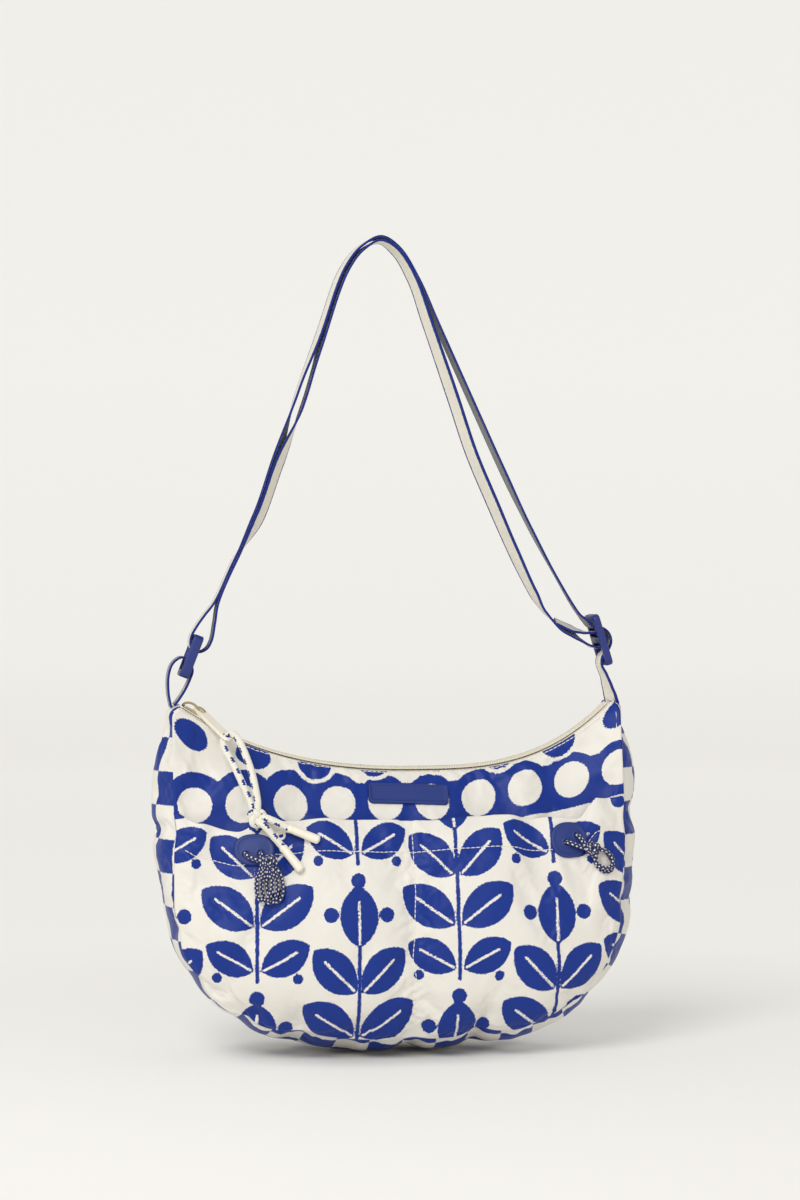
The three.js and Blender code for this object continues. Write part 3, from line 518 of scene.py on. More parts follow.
def tangents(line):
    return units(np.gradient(line, axis=0))


def turned_frames(line):
    """Two directions across a line at each point, carried along it without twisting."""
    along = tangents(line)
    first = unit(np.cross(along[0], (0.31, 0.9, 0.3)))
    across = [first]
    for k in range(1, len(line)):
        across.append(unit(across[-1] - along[k] * np.dot(across[-1], along[k])))
    across = np.array(across)
    return across, np.cross(along, across)


def tube(line, radius_of, sides):
    """Rings round a line. radius_of gives the radius from the angle and the length along the line."""
    across, up = turned_frames(line)
    place = lengths_along(line)
    angle = np.linspace(0, 2 * np.pi, sides + 1)
    radius = radius_of(angle[None, :], place[:, None]) * np.ones((len(line), sides + 1))
    ring = across[:, None] * np.cos(angle)[None, :, None] + up[:, None] * np.sin(angle)[None, :, None]
    points = line[:, None] + ring * radius[..., None]
    girth = angle * radius.mean()
    uv = np.stack(np.broadcast_arrays(girth[None, :], place[:, None]), -1)
    return points, uv


class Builder:
    """Grids and rings gathered into one piece."""

    def __init__(self):
        self.points, self.faces, self.uv, self.count = [], [], [], 0

    def grid(self, points, uv, flip=False):
        rows, columns = points.shape[:2]
        self.faces.extend(grid_faces(rows, columns, self.count, flip).tolist())
        self.points.append(points.reshape(-1, 3))
        self.uv.append(uv.reshape(-1, 2))
        self.count += rows * columns
        return self

    def swept(self, points, uv, caps=True):
        """Rings whose last point repeats their first, with flat ends."""
        first = self.count
        rows, columns = points.shape[:2]
        self.grid(points, uv)
        if caps:
            self.faces.append([first + k for k in range(columns - 1)][::-1])
            self.faces.append([first + (rows - 1) * columns + k for k in range(columns - 1)])
        return self

    def closed_tube(self, line, radius_of, sides, caps=True):
        return self.swept(*tube(line, radius_of, sides), caps)

    def piece(self, name, material, nodes=(), slot=None):
        points, uv = np.concatenate(self.points), np.concatenate(self.uv)
        return add_piece(name, points, self.faces, material, nodes, uv)


def rounded_end(place, total, radius, nose):
    """A tube's radius that closes in a rounded nose at both ends."""
    near = np.minimum(place, total - place)
    t = np.clip(near / nose, 0, 1)
    return radius * np.sqrt(np.clip(1 - (1 - t) ** 2, 0.02, 1))


# Stitching

STITCH_PITCH = 3.4
STITCH_LENGTH = 2.6
STITCH_RADIUS = 0.3


def stitches(name, line, normal):
    """A row of thread dashes along a line on a surface, each dipping into it at its ends."""
    place = lengths_along(line)
    builder = Builder()
    share = np.linspace(0, 1, 7)
    lift = STITCH_RADIUS * (1.1 * np.sin(np.pi * share) ** 0.5 - 0.35)
    for start in np.arange(STITCH_PITCH / 2, place[-1] - STITCH_LENGTH, STITCH_PITCH):
        at = start + share * STITCH_LENGTH
        spot = points_at(at, place, line) + points_at(at, place, normal) * lift[:, None]
        builder.closed_tube(spot, lambda angle, along: STITCH_RADIUS, 6)
    builder.piece(name, CREAM_THREAD)


# Materials


class Signal:
    """A socket in a material's node sums, so that they read as ordinary sums."""

    def __init__(self, shader, socket):
        self.shader, self.socket = shader, socket

    def __add__(self, other):
        return self.shader.math("ADD", self, other)

    def __sub__(self, other):
        return self.shader.math("SUBTRACT", self, other)

    def __mul__(self, other):
        return self.shader.math("MULTIPLY", self, other)

    def above(self, limit):
        return self.shader.math("GREATER_THAN", self, limit)

    def below(self, limit):
        return self.shader.math("LESS_THAN", self, limit)

    def floor(self):
        return self.shader.math("FLOOR", self)

    def size(self):
        return self.shader.math("ABSOLUTE", self)

    def wave(self, pitch):
        return self.shader.math("SINE", self * (2 * math.pi / pitch))

    def modulo(self, pitch):
        return self.shader.math("FLOORED_MODULO", self, pitch)

    def ramp(self, low, high):
        """0 below low and 1 above high, eased between them."""
        made = self.shader.node("ShaderNodeMapRange", interpolation_type="SMOOTHSTEP")
        self.shader.feed(made.inputs["Value"], self)
        made.inputs["From Min"].default_value = low
        made.inputs["From Max"].default_value = high
        return Signal(self.shader, made.outputs["Result"])

    def either(self, other):
        return self.shader.math("MAXIMUM", self, other)


class Shader:
    def __init__(self, name):
        self.material = bpy.data.materials.new(name)
        self.material.use_nodes = True
        self.nodes = self.material.node_tree.nodes
        self.links = self.material.node_tree.links
        self.principled = next(node for node in self.nodes if node.type == "BSDF_PRINCIPLED")

    def node(self, kind, **settings):
        made = self.nodes.new(kind)
        for key, value in settings.items():
            setattr(made, key, value)
        return made

    def feed(self, socket, value):
        """Links a signal or a socket to a socket, or sets a number or an sRGB colour on it."""
        if isinstance(value, Signal):
            value = value.socket
        if isinstance(value, bpy.types.NodeSocket):
            self.links.new(value, socket)
        else:
            socket.default_value = linear(value) if isinstance(value, tuple) else value

    def math(self, operation, *values):
        made = self.node("ShaderNodeMath", operation=operation)
        for socket, value in zip(made.inputs, values):
            self.feed(socket, value)
        return Signal(self, made.outputs[0])

    def split(self, socket):
        made = self.node("ShaderNodeSeparateXYZ")
        self.links.new(socket, made.inputs[0])
        return [Signal(self, made.outputs[axis]) for axis in "XYZ"]

    def uv(self):
        """Flat coordinates, in millimetres."""
        return self.split(self.node("ShaderNodeUVMap", uv_map="millimetres").outputs["UV"])[:2]

    def place(self):
        """Coordinates in the row's frame, in metres."""
        return self.split(self.node("ShaderNodeTexCoord").outputs["Object"])

    def attribute(self, name):
        made = self.node("ShaderNodeAttribute", attribute_name=name)
        return Signal(self, made.outputs["Fac"])

    def object_noise(self, pitch, detail=3.0):
        """Noise in the row's frame, whose lumps are about pitch millimetres across."""
        place = self.node("ShaderNodeTexCoord").outputs["Object"]
        made = self.node("ShaderNodeTexNoise")
        self.links.new(place, made.inputs["Vector"])
        made.inputs["Scale"].default_value = 1 / (pitch * MM)
        made.inputs["Detail"].default_value = detail
        return Signal(self, made.outputs["Fac"])

    def cell_noise(self, a, b):
        """A random number for each whole pair of numbers."""
        pair = self.node("ShaderNodeCombineXYZ")
        self.feed(pair.inputs["X"], a)
        self.feed(pair.inputs["Y"], b)
        made = self.node("ShaderNodeTexWhiteNoise", noise_dimensions="2D")
        self.links.new(pair.outputs[0], made.inputs["Vector"])
        return Signal(self, made.outputs["Value"])

    def mix(self, share, a, b):
        made = self.node("ShaderNodeMix", data_type="RGBA")
        self.feed(made.inputs["Factor"], share)
        for socket, value in ((made.inputs[6], a), (made.inputs[7], b)):
            self.feed(socket, value)
        return made.outputs[2]

    def tint(self, colour, value, low, high):
        """A colour made darker or lighter as a signal goes from 0 to 1."""
        made = self.node("ShaderNodeHueSaturation")
        self.feed(made.inputs["Value"], value * (high - low) + low)
        self.feed(made.inputs["Color"], colour)
        return made.outputs[0]

    def bump(self, height, distance, strength=1.0, below=None):
        made = self.node("ShaderNodeBump")
        self.feed(made.inputs["Height"], height)
        made.inputs["Distance"].default_value = distance * MM
        made.inputs["Strength"].default_value = strength
        if below is not None:
            self.links.new(below, made.inputs["Normal"])
        return made.outputs[0]

    def finish(self, colour, roughness, normal=None, **constants):
        self.feed(self.principled.inputs["Base Color"], colour)
        self.feed(self.principled.inputs["Roughness"], roughness)
        if normal is not None:
            self.links.new(normal, self.principled.inputs["Normal"])
        for key, value in constants.items():
            self.principled.inputs[key.replace("_", " ")].default_value = value
        return self.material


def linear(colour):
    """sRGB shares as a scene-linear colour."""
    made = [c / 12.92 if c <= 0.04045 else ((c + 0.055) / 1.055) ** 2.4 for c in colour]
    return (*made, 1.0)


# Thread pitch of the nylon, and how far its print strays from thread to thread
THREAD = 0.6
PRINT_STRAY = 0.7
RIB_HALF = 0.85
CHECK = 23.0


def nylon(name, ink_of):
    """Satin nylon printed in blue on cream. ink_of gives the signal that is above 0 where it is blue."""
    shader = Shader(name)
    a, b = shader.uv()
    jitter = shader.cell_noise((a * (1 / THREAD)).floor(), (b * (1 / THREAD)).floor()) - 0.5
    ink = ink_of(shader, a, b, jitter * PRINT_STRAY)
    cloud = shader.object_noise(38)
    colour = shader.tint(shader.mix(ink, CREAM, BLUE), cloud, 0.93, 1.05)
    weave = a.wave(THREAD) * b.wave(THREAD) * 0.5 + 0.5
    slub = shader.object_noise(2.2, 1.0)
    normal = shader.bump(weave, 0.05, 0.5)
    normal = shader.bump(slub, 0.25, 0.35, normal)
    roughness = cloud * 0.16 + 0.36
    return shader.finish(
        colour, roughness, normal, Sheen_Weight=0.03, Sheen_Roughness=0.4, Specular_IOR_Level=0.22
    )


def printed_ink(shader, a, b, jitter):
    ink = (shader.attribute("ink") + jitter).above(0)
    return ink * (shader.attribute("rib") + jitter).above(RIB_HALF)


def checked_ink(shader, a, b, jitter):
    one = ((a + jitter).modulo(2 * CHECK)).above(CHECK)
    two = ((b + jitter).modulo(2 * CHECK)).above(CHECK)
    return (one - two).size()


PRINTED = nylon("printed_nylon", printed_ink)
CHECKED = nylon("checked_nylon", checked_ink)

# Prints, as distances in millimetres that are above 0 in the blue

SPRIG_PITCH = 68.0
SPRIG_REPEAT = 150.0
SPRIG_FIRST_X = -33.0
SPRIG_FIRST_Z = -28.0
# Leaves of a sprig: height on the stem, lean from upright in degrees, length, width
SPRIG_LEAVES = (
    (6, 62, 36, 22), (6, -62, 36, 22), (34, 54, 43, 26), (34, -54, 43, 26),
    (66, 46, 40, 24.5), (66, -46, 40, 24.5), (94, 0, 40, 26),
)
STEM_HALF = 1.3
STEM_TOP = 100.0
LEAF_START = 3.0
# Small dots of a sprig: x, height, radius
SPRIG_DOTS = ((0, -10, 5), (-19, 118, 5), (19, 118, 5), (-27, 3, 3.4), (27, 3, 3.4))


def lens(along, across, length, width):
    """How deep a place lies in a pointed leaf, above 0 inside."""
    radius = (length**2 + width**2) / (4 * width)
    shift = radius - width / 2
    return radius - np.hypot(along - length / 2, np.abs(across) + shift)


def leaf_print(x, z):
    """Half-drop columns of leafy sprigs: the ink's depth, and the distance across the nearest leaf's rib."""
    ink, rib = np.full(x.shape, -9.0), np.full(x.shape, 9.0)
    column = np.round((x - SPRIG_FIRST_X) / SPRIG_PITCH)
    for k in (-1, 0, 1):
        place = column + k
        a = x - SPRIG_FIRST_X - place * SPRIG_PITCH
        b = z - SPRIG_FIRST_Z - np.where(place % 2 > 0.5, SPRIG_REPEAT / 2, 0)
        for turn in (-1, 0, 1):
            h = b - SPRIG_REPEAT * (np.floor(b / SPRIG_REPEAT) + turn)
            stem = np.minimum(STEM_HALF - np.abs(a), np.minimum(h, STEM_TOP - h))
            ink = np.maximum(ink, stem)
            for height, lean, length, width in SPRIG_LEAVES:
                s, c = math.sin(math.radians(lean)), math.cos(math.radians(lean))
                along = a * s + (h - height) * c - LEAF_START
                across = a * c - (h - height) * s
                depth = lens(along, across, length, width)
                past = np.maximum(np.maximum(2 - along, along - 0.74 * length), 0)
                rib = np.where(depth > ink, np.hypot(across, past), rib)
                ink = np.maximum(ink, depth)
            for dot_x, height, radius in SPRIG_DOTS:
                ink = np.maximum(ink, radius - np.hypot(a - dot_x, h - height))
    return ink, rib


DOT_PITCH = 33.0
DOT_RADIUS = 12.0
DOT_LEVEL = 165.0
DOT_FIRST_X = 6.0
HALO = 18.5
BAND_TOP = 13.0
BAND_BOTTOM = -19.0
# How much taller the band stands at the left
BAND_SWELL = 4.0
UPPER_RADIUS = 9.5
DOT_MARGIN = 2.4
UPPER_PITCH = 43.0
UPPER_FIRST_X = -15.0
# The row of dots climbs at the right: height, first x, width, power
DOT_CLIMB = (24, 25, 132, 1.4)
# Blue dots stand this far over the zipped edge in the middle and sink towards each end, by height and power
UPPER_RISE = 6
LEFT_SINK = (20, 0.8)
RIGHT_SINK = (16, 3)


def dot_print(x, z):
    """A scalloped blue band with a row of cream dots, and blue dots on cream along the zipped edge."""
    climb, first_x, width, power = DOT_CLIMB
    level = z - DOT_LEVEL - climb * np.clip((x - first_x) / width, 0, 1) ** power
    a = (x - DOT_FIRST_X) % DOT_PITCH - DOT_PITCH / 2
    away = np.hypot(a, level)
    swollen = BAND_SWELL * smoothstep(-x, 10, 90) * smoothstep(level, -10, 10)
    band = np.maximum(HALO + swollen - away, np.minimum(BAND_TOP - level, level - BAND_BOTTOM))
    aside = (x - UPPER_FIRST_X + UPPER_PITCH / 2) % UPPER_PITCH - UPPER_PITCH / 2
    across = np.abs(x / SHOULDER_X)
    left, right = [height * across**power for height, power in (LEFT_SINK, RIGHT_SINK)]
    under = z - zip_height(x) - UPPER_RISE + np.where(x < 0, left, right)
    upper = UPPER_RADIUS - np.hypot(0.8 * aside, under)
    lower = np.minimum(np.minimum(band, away - DOT_RADIUS), -DOT_MARGIN - upper)
    return np.maximum(lower, upper), np.full(x.shape, 9.0)


# Materials of the webbing, cords, plastics and metal

SELVEDGE = 2.5
WEB_CREAM = (0.90, 0.88, 0.83)
# Painted shade: grey for the webbing's inside face, standing in for the shade on it
WEB_SHADE_GREY = (0.60, 0.595, 0.59)
WEB_BLUE = (0.055, 0.15, 0.475)
# Flat coordinates across the webbing are moved by this on its inside face, where that face is painted grey as
# shade
INSIDE_SHIFT = 100.0
BONE = (0.945, 0.92, 0.855)
ROPE_CREAM = (0.94, 0.925, 0.87)
NAVY = (0.09, 0.13, 0.36)
RUBBER_BLUE = (0.085, 0.185, 0.47)
PLASTIC_BLUE = (0.11, 0.17, 0.46)
BRASS = (0.80, 0.73, 0.58)
TAPE_CREAM = (0.90, 0.875, 0.815)
COIL_BONE = (0.87, 0.845, 0.77)


def webbing_material():
    shader = Shader("webbing")
    a, b = shader.uv()
    inside = a.above(INSIDE_SHIFT / 2)
    a = a - inside * INSIDE_SHIFT
    frayed = a.size() + (shader.cell_noise((b * (1 / 1.1)).floor(), a.above(0)) - 0.5) * 0.5
    blue = frayed.above(WEBBING_WIDTH / 2 - SELVEDGE)
    cloud = shader.object_noise(16)
    # Painted shade: the inside face takes a grey in place of its cream
    face = shader.mix(inside, WEB_CREAM, WEB_SHADE_GREY)
    colour = shader.tint(shader.mix(blue, face, WEB_BLUE), cloud, 0.92, 1.05)
    rib = b.wave(1.5) * a.wave(2.2) * 0.5 + 0.5
    normal = shader.bump(rib, 0.22, 0.8)
    return shader.finish(
        colour, cloud * 0.15 + 0.62, normal, Sheen_Weight=0.08, Sheen_Roughness=0.5, Specular_IOR_Level=0.25
    )


def moulded(name, colour, roughness, grain, relief, metallic=0.0):
    """Moulded or cast stuff with a fine grain and a little unevenness."""
    shader = Shader(name)
    cloud = shader.object_noise(11)
    normal = shader.bump(shader.object_noise(grain, 2.0), relief, 0.4)
    colour = shader.tint(colour, cloud, 0.92, 1.06)
    return shader.finish(colour, cloud * 0.2 + roughness, normal, Metallic=metallic)


def braided(name, ground, fleck, fleck_of, girth, strands):
    """Braided cord, painted darker in the grooves between its strands as shade, and with random tone. The
    girth runs along the first of its flat coordinates.
    """
    shader = Shader(name)
    a, b = shader.uv()
    pitch = girth / strands
    weave = (a + b * 0.9).wave(pitch).either((a - b * 0.9).wave(pitch)) * 0.5 + 0.5
    cloud = shader.object_noise(6)
    # Painted shade in the grooves between the strands, mixed with random tone
    groove_shade_and_tone = weave * 0.6 + cloud * 0.4
    colour = shader.tint(shader.mix(fleck_of(a, b), ground, fleck), groove_shade_and_tone, 0.8, 1.08)
    normal = shader.bump(weave, 0.3, 0.8)
    return shader.finish(colour, 0.72, normal, Sheen_Weight=0.25, Sheen_Roughness=0.5, Specular_IOR_Level=0.3)


def rope_flecks(a, b):
    """Short zigzag ticks in two lines along the rope."""
    zigzag = b.wave(1.9) * 0.45
    line = ((a + zigzag).modulo(math.pi * ROPE / 2) - math.pi * ROPE / 4).size().below(1.1)
    return line * b.modulo(9.0).below(4.3)


def cord_flecks(a, b):
    """Staggered pale dots."""
    column = (a * (1 / 2.2)).floor()
    along = (b + column.modulo(2) * 1.5).modulo(3.0) - 1.5
    across = a.modulo(2.2) - 1.1
    return (along * along + across * across).below(0.42)


WEBBING = webbing_material()
ROPE_BRAID = braided("flecked_rope", ROPE_CREAM, BLUE, rope_flecks, math.pi * ROPE, 10)
CORD_BRAID = braided("navy_cord", NAVY, CREAM, cord_flecks, math.pi * DRAWCORD, 8)
BONE_PLASTIC = moulded("bone_plastic", BONE, 0.36, 0.9, 0.05)
RUBBER = moulded("blue_rubber", RUBBER_BLUE, 0.42, 0.7, 0.06)
PLASTIC = moulded("blue_plastic", PLASTIC_BLUE, 0.34, 1.1, 0.05)
BRASS_METAL = moulded("slider_brass", BRASS, 0.24, 0.8, 0.03, 1.0)
COIL_NYLON = moulded("coil_nylon", COIL_BONE, 0.34, 0.8, 0.03)
CREAM_THREAD = moulded("cream_thread", (0.93, 0.915, 0.87), 0.6, 0.5, 0.08)


def tape_material():
    shader = Shader("zip_tape_weave")
    a, b = shader.uv()
    twill = (a + b).wave(1.3) * 0.5 + 0.5
    cloud = shader.object_noise(12)
    return shader.finish(shader.tint(TAPE_CREAM, cloud, 0.92, 1.04), 0.75, shader.bump(twill, 0.15, 0.7))


TAPE = tape_material()

# Camera

VIEW_TURN = math.radians(8)
VIEW_DISTANCE = 2000.0
VIEW_HEIGHT = 305.0
MM_PER_PIXEL = 0.70
PHOTO_HEIGHT = 1200
AXIS_PIXEL = 395.5
MIDDLE_PIXEL = 400.0
SENSOR = 36.0
CLIP_END = 50
FLOOR_Z = -9.9


def add_camera():
    data = bpy.data.cameras.new("photo_view")
    data.sensor_width = SENSOR
    data.lens = VIEW_DISTANCE / MM_PER_PIXEL / PHOTO_HEIGHT * SENSOR
    data.shift_x = (MIDDLE_PIXEL - AXIS_PIXEL) / PHOTO_HEIGHT
    data.clip_end = CLIP_END
    camera = new_object("photo_view", data)
    place = (-VIEW_DISTANCE * math.sin(VIEW_TURN), -VIEW_DISTANCE * math.cos(VIEW_TURN), VIEW_HEIGHT)
    camera.location = world(place)
    ahead = Vector((math.sin(VIEW_TURN), math.cos(VIEW_TURN), 0))
    camera.rotation_euler = ahead.to_track_quat("-Z", "Y").to_euler()
    bpy.context.scene.camera = camera


add_camera()


def cloth_grid(columns, rows):
    return np.meshgrid(np.linspace(0, 1, columns), np.linspace(0, 1, rows))


def pocket_surface(columns, rows):
    """The pocket's smooth outer surface: its shares, the panel under it, its gap and its points."""
    u, w = cloth_grid(columns, rows)
    v = w * hem_row(u[0])[None, :]
    base = panel_point(u, v, FRONT)
    normal = normals_of(base)
    gap = pocket_gap(u, w, base)
    return u, v, w, base, normal, gap, base + normal * (gap + CLOTH)[..., None]


POCKET_GROUND = Ground(pocket_surface(160, 80)[-1])
FRONT_GROUND = Ground(panel_point(*cloth_grid(120, 60), FRONT))

# Cords

# Lengths between the rings of the rope and of the drawcords
ROPE_STEP = 0.5
CORD_STEP = 0.4


def braid_relief(radius, strands, turn):
    """A tube radius that stands proud where the braid's strands cross over."""

    def radius_of(angle, place):
        one = np.cos(strands * angle + 2 * np.pi * place / turn)
        two = np.cos(strands * angle - 2 * np.pi * place / turn)
        return radius * (0.97 + 0.04 * np.maximum(one, two))

    return radius_of


def knot_piece(name, middle, along, ring, swing, radius, material, slot):
    """An overhand knot pulled tight: a trefoil of the cord, drawn out along it."""
    t = np.linspace(0, 2 * np.pi, 140)
    flat = ring + swing * np.cos(3 * t)
    along = unit(along)
    across = unit(np.cross(along, (0, 1, 0.2)))
    up = np.cross(along, across)
    line = np.asarray(middle) + across * (flat * np.cos(2 * t))[:, None]
    line = line + along * (flat * np.sin(2 * t))[:, None] + up * (1.25 * swing * np.sin(3 * t))[:, None]
    knot = Builder().closed_tube(line, braid_relief(radius, 4, 2.2 * radius), 16, caps=False)
    return knot.piece(name, material, (), slot)


def rope_cord(side, strand, tail, sleeve, shift, nodes):
    """One strand of the pull's rope, from the tab's hole through the knot into its sleeve."""
    through = np.array(KNOT) + shift
    start, stop = np.array(sleeve[0], float), np.array(sleeve[1], float)
    line = spaced(smooth_line([*strand, through, *tail, lerp(start, stop, 0.4)], 24), ROPE_STEP)
    rope = Builder().closed_tube(line, braid_relief(ROPE / 2, 5, 5.2), 20)
    piece = rope.piece(f"rope_{side}", ROPE_BRAID, nodes, "flecked_rope")
    lip = unit(stop - start)
    hull = spaced(np.array((start - lip, stop)), 0.4)
    total = lengths_along(hull)[-1]

    def sleeve_radius(angle, place):
        crimp = 1 - 0.07 * bell(place - 4.5, 1.2) - 0.04 * bell(place - 9, 5)
        return rounded_end(place, total, SLEEVE / 2, 1.9) * crimp

    cap = Builder().closed_tube(hull, sleeve_radius, 24)
    cap_piece = cap.piece(f"sleeve_{side}", BONE_PLASTIC, (f"rope_sleeve_{side}",), "bone_plastic")
    return piece, cap_piece, line


rope_knot = knot_piece("rope_knot", KNOT, (0.45, -0.1, -0.88), 3.3, 1.7, 2.35, ROPE_BRAID, "flecked_rope")
for side, strand, tail, sleeve, shift, nodes in (
    ("low", LEFT_STRAND, LOW_TAIL, LOW_SLEEVE, np.array((-1.3, 0, -0.8)), ("pull_rope",)),
    ("high", RIGHT_STRAND, HIGH_TAIL, HIGH_SLEEVE, np.array((1.3, 0, 0.8)), ()),
):
    rope, cap, line = rope_cord(side, strand, tail, sleeve, shift, nodes)


# How far each way a loop goes round its oval, and turns of the cord round its knot
LOOP_TURN = math.radians(140)
WRAP_RADIUS = 4.2
WRAP_TURN = np.radians((205, 125, 45))


def loop_rows(x, z, lean, reach, spread, lift, knot_lift):
    """Places round an oval loop that hangs from a knot, as x, z and height over the pocket."""
    s, c = math.sin(math.radians(lean)), math.cos(math.radians(lean))
    made = []
    for angle in np.linspace(LOOP_TURN, -LOOP_TURN, 9):
        away, aside = reach * math.cos(angle), spread * math.sin(angle)
        height = lerp(lift, knot_lift, abs(angle / LOOP_TURN) ** 6)
        made.append((x + away * s + aside * c, z - away * c + aside * s, height))
    return made


def drawcord(side, rows):
    """A cord from a tab's hole through its knot, round its loops and the knot, and to the other hole."""
    x, z, lift = rows["knot"]
    wrap = [(x + WRAP_RADIUS * math.cos(t), z + WRAP_RADIUS * math.sin(t), lift + 1) for t in WRAP_TURN]
    route = [*rows["out"], rows["knot"]]
    for k, loop in enumerate(rows["loops"]):
        route.extend(wrap if k else ())
        route.extend(loop_rows(*loop, lift))
    line = [POCKET_GROUND.over(*row) for row in (*route, *rows["back"])]
    line = spaced(smooth_line(line, 16), CORD_STEP)
    cord = Builder().closed_tube(line, braid_relief(DRAWCORD / 2, 4, 3.0), 16)
    piece = cord.piece(f"cord_{side}", CORD_BRAID, (f"drawcord_{side}",), "navy_cord")
    knot = POCKET_GROUND.over(*rows["knot"])
    reach = knot - (line[0] + line[-1]) / 2
    tied = knot_piece(f"cord_knot_{side}", knot, reach, 2.5, 1.25, 1.4, CORD_BRAID, "navy_cord")


drawcord("left", LEFT_DRAWCORD)
drawcord("right", RIGHT_DRAWCORD)

# Webbing


def fitting_axes(fitting):
    """A fitting's directions along the webbing and out of its flat."""
    lean = math.radians(fitting["lean"])
    return np.array((math.sin(lean), 0, math.cos(lean))), np.array((math.cos(lean), 0, -math.sin(lean)))


def from_fitting(fitting, rows):
    along, aside = fitting_axes(fitting)
    middle = np.array((fitting["x"], 0, fitting["z"]))
    made = []
    for out, up, *twist in rows:
        point = middle + aside * out + along * up
        made.append((point[0], point[2], *twist))
    return made


def webbing_section():
    half, thick = WEBBING_WIDTH / 2, WEBBING_THICK / 2
    flat = [(a, thick) for a in np.linspace(thick - half, half - thick, 11)]
    bends = np.linspace(math.pi / 2, -math.pi / 2, 6)[1:-1]
    edge = [(half - thick + thick * math.cos(t), thick * math.sin(t)) for t in bends]
    around = flat + edge
    return np.array(around + [(-a, -n) for a, n in around] + around[:1])


def webbing_frames(rows):
    """The line of a band through rows of x, z and twist, with its directions across and up."""
    rows = np.array([(*row, 0)[:3] for row in rows], float)
    steps = 14
    line = smooth_line(np.stack((rows[:, 0], 0 * rows[:, 0], rows[:, 1]), -1), steps)
    place = np.arange(len(line)) / steps
    row = np.minimum(np.floor(place).astype(int), len(rows) - 2)
    twist = np.radians(lerp(rows[row, 2], rows[row + 1, 2], smoothstep(place - row, 0, 1)))[:, None]
    along = tangents(line)
    across = units(np.array((0, 1, 0)) - along * along[:, 1:2])
    across = across * np.cos(twist) + np.cross(along, across) * np.sin(twist)
    return line, across, np.cross(along, across)


def webbing(name, node, rows, lit_length=0.0):
    """A band through rows. Its inside face is painted grey as shade, but keeps its cream on the lit length at
    its start.
    """
    line, across, up = webbing_frames(rows)
    section = webbing_section()
    place = lengths_along(line)
    points = line[:, None] + across[:, None] * section[None, :, :1] + up[:, None] * section[None, :, 1:]
    # Painted shade: the inside face is marked grey past the lit length at its start
    inside = (section[:, 1] > WEBBING_THICK / 2.1)[None, :] & (place >= lit_length)[:, None]
    flat = section[None, :, 0] + np.where(inside, INSIDE_SHIFT, 0)
    uv = np.stack(np.broadcast_arrays(flat, place[:, None]), -1)
    Builder().swept(points, uv).piece(name, WEBBING, (node,), "webbing")


# The end that is sewn in under the corner
SEWN_IN = (154.9, 231.5, 16)
# From there to the strap slider's bar
SEWN_LENGTH = 50.0
STRAP_ROWS = [
    SEWN_IN, *STRAP_START, *from_fitting(GLIDE, OVER_GLIDE), *OUTER_LINE,
    *from_fitting(RING, ROUND_RING), *INNER_LINE, *from_fitting(GLIDE, SEWN_END),
]
# The inside face keeps its cream over this first length from the sewn-in end, where it is shown lit; past it
# the face is painted grey as shade
webbing("strap_webbing", "strap", STRAP_ROWS, SEWN_LENGTH)
webbing("anchor_webbing", "anchor_loop", ANCHOR_ROWS)

# Plates with rounded edges


def rounded_box(width, height, radius, count=8):
    """A closed outline, counterclockwise."""
    made = []
    for k, (sx, sy) in enumerate(((1, 1), (-1, 1), (-1, -1), (1, -1))):
        for angle in np.linspace(0, math.pi / 2, count) + k * math.pi / 2:
            made.append((
                sx * (width / 2 - radius) + radius * math.cos(angle),
                sy * (height / 2 - radius) + radius * math.sin(angle),
            ))
    return np.array(made)


def cut_plate(name, outlines, thick, bevel, middle, first, second, material, nodes):
    """A plate cut from closed outlines in a plane. The first is its edge and the others are holes."""
    data = bpy.data.curves.new(name, "CURVE")
    data.dimensions = "2D"
    data.fill_mode = "BOTH"
    data.extrude = thick / 2 - bevel
    data.bevel_depth = bevel
    data.bevel_resolution = 3
    data.offset = -bevel
    for outline in outlines:
        spline = data.splines.new("POLY")
        spline.points.add(len(outline) - 1)
        spline.use_cyclic_u = True
        for point, (a, b) in zip(spline.points, outline):
            point.co = (a, b, 0, 1)
    shape = new_object("cut_shape", data)
    mesh = bpy.data.meshes.new_from_object(shape.evaluated_get(bpy.context.evaluated_depsgraph_get()))
    local = np.array([vertex.co for vertex in mesh.vertices])
    faces = [list(face.vertices) for face in mesh.polygons]
    bpy.data.objects.remove(shape)
    bpy.data.curves.remove(data)
    bpy.data.meshes.remove(mesh)
    _, keep, same = np.unique(np.round(local, 3), axis=0, return_index=True, return_inverse=True)
    same = same.ravel()
    local = local[keep]
    faces = [list(dict.fromkeys(int(same[k]) for k in face)) for face in faces]
    faces = [face for face in faces if len(face) > 2]
    third = np.cross(first, second)
    points = np.asarray(middle) + local[:, :1] * first + local[:, 1:2] * second + local[:, 2:] * third
    piece = add_piece(name, points, faces, material, nodes, local[:, :2])
    modifier = piece.modifiers.new("flat_faces", "WEIGHTED_NORMAL")
    modifier.weight = 100


def fitting_piece(name, node, fitting, bevel):
    along, _ = fitting_axes(fitting)
    outlines = [rounded_box(fitting["width"], fitting["length"], FITTING_CORNER)]
    pitch = (fitting["length"] - fitting["bar"]) / fitting["windows"]
    for k in range(fitting["windows"]):
        middle = (k + 0.5) * pitch - (fitting["length"] - fitting["bar"]) / 2
        window = rounded_box(fitting["width"] - 2 * fitting["bar"] + 1.2, pitch - fitting["bar"], 0.8)
        outlines.append((window + (0, middle))[::-1])
    middle = np.array((fitting["x"], 0, fitting["z"]))
    across = np.array((0.0, 1.0, 0.0))
    thick = fitting["thick"]
    cut_plate(name, outlines, thick, bevel, middle, across, along, PLASTIC, (node,))


fitting_piece("ring_frame", "strap_ring", RING, 1.5)
fitting_piece("glide_frame", "strap_slider", GLIDE, 1.3)

# Zip

ZIP_END = SHOULDER_X - ZIP_END_CLEARANCE
TAPE_END = SHOULDER_X + 1.5
TAPE_GRID = (200, 8)
TAPE_THICK = 0.8
TOOTH_PITCH = 1.7


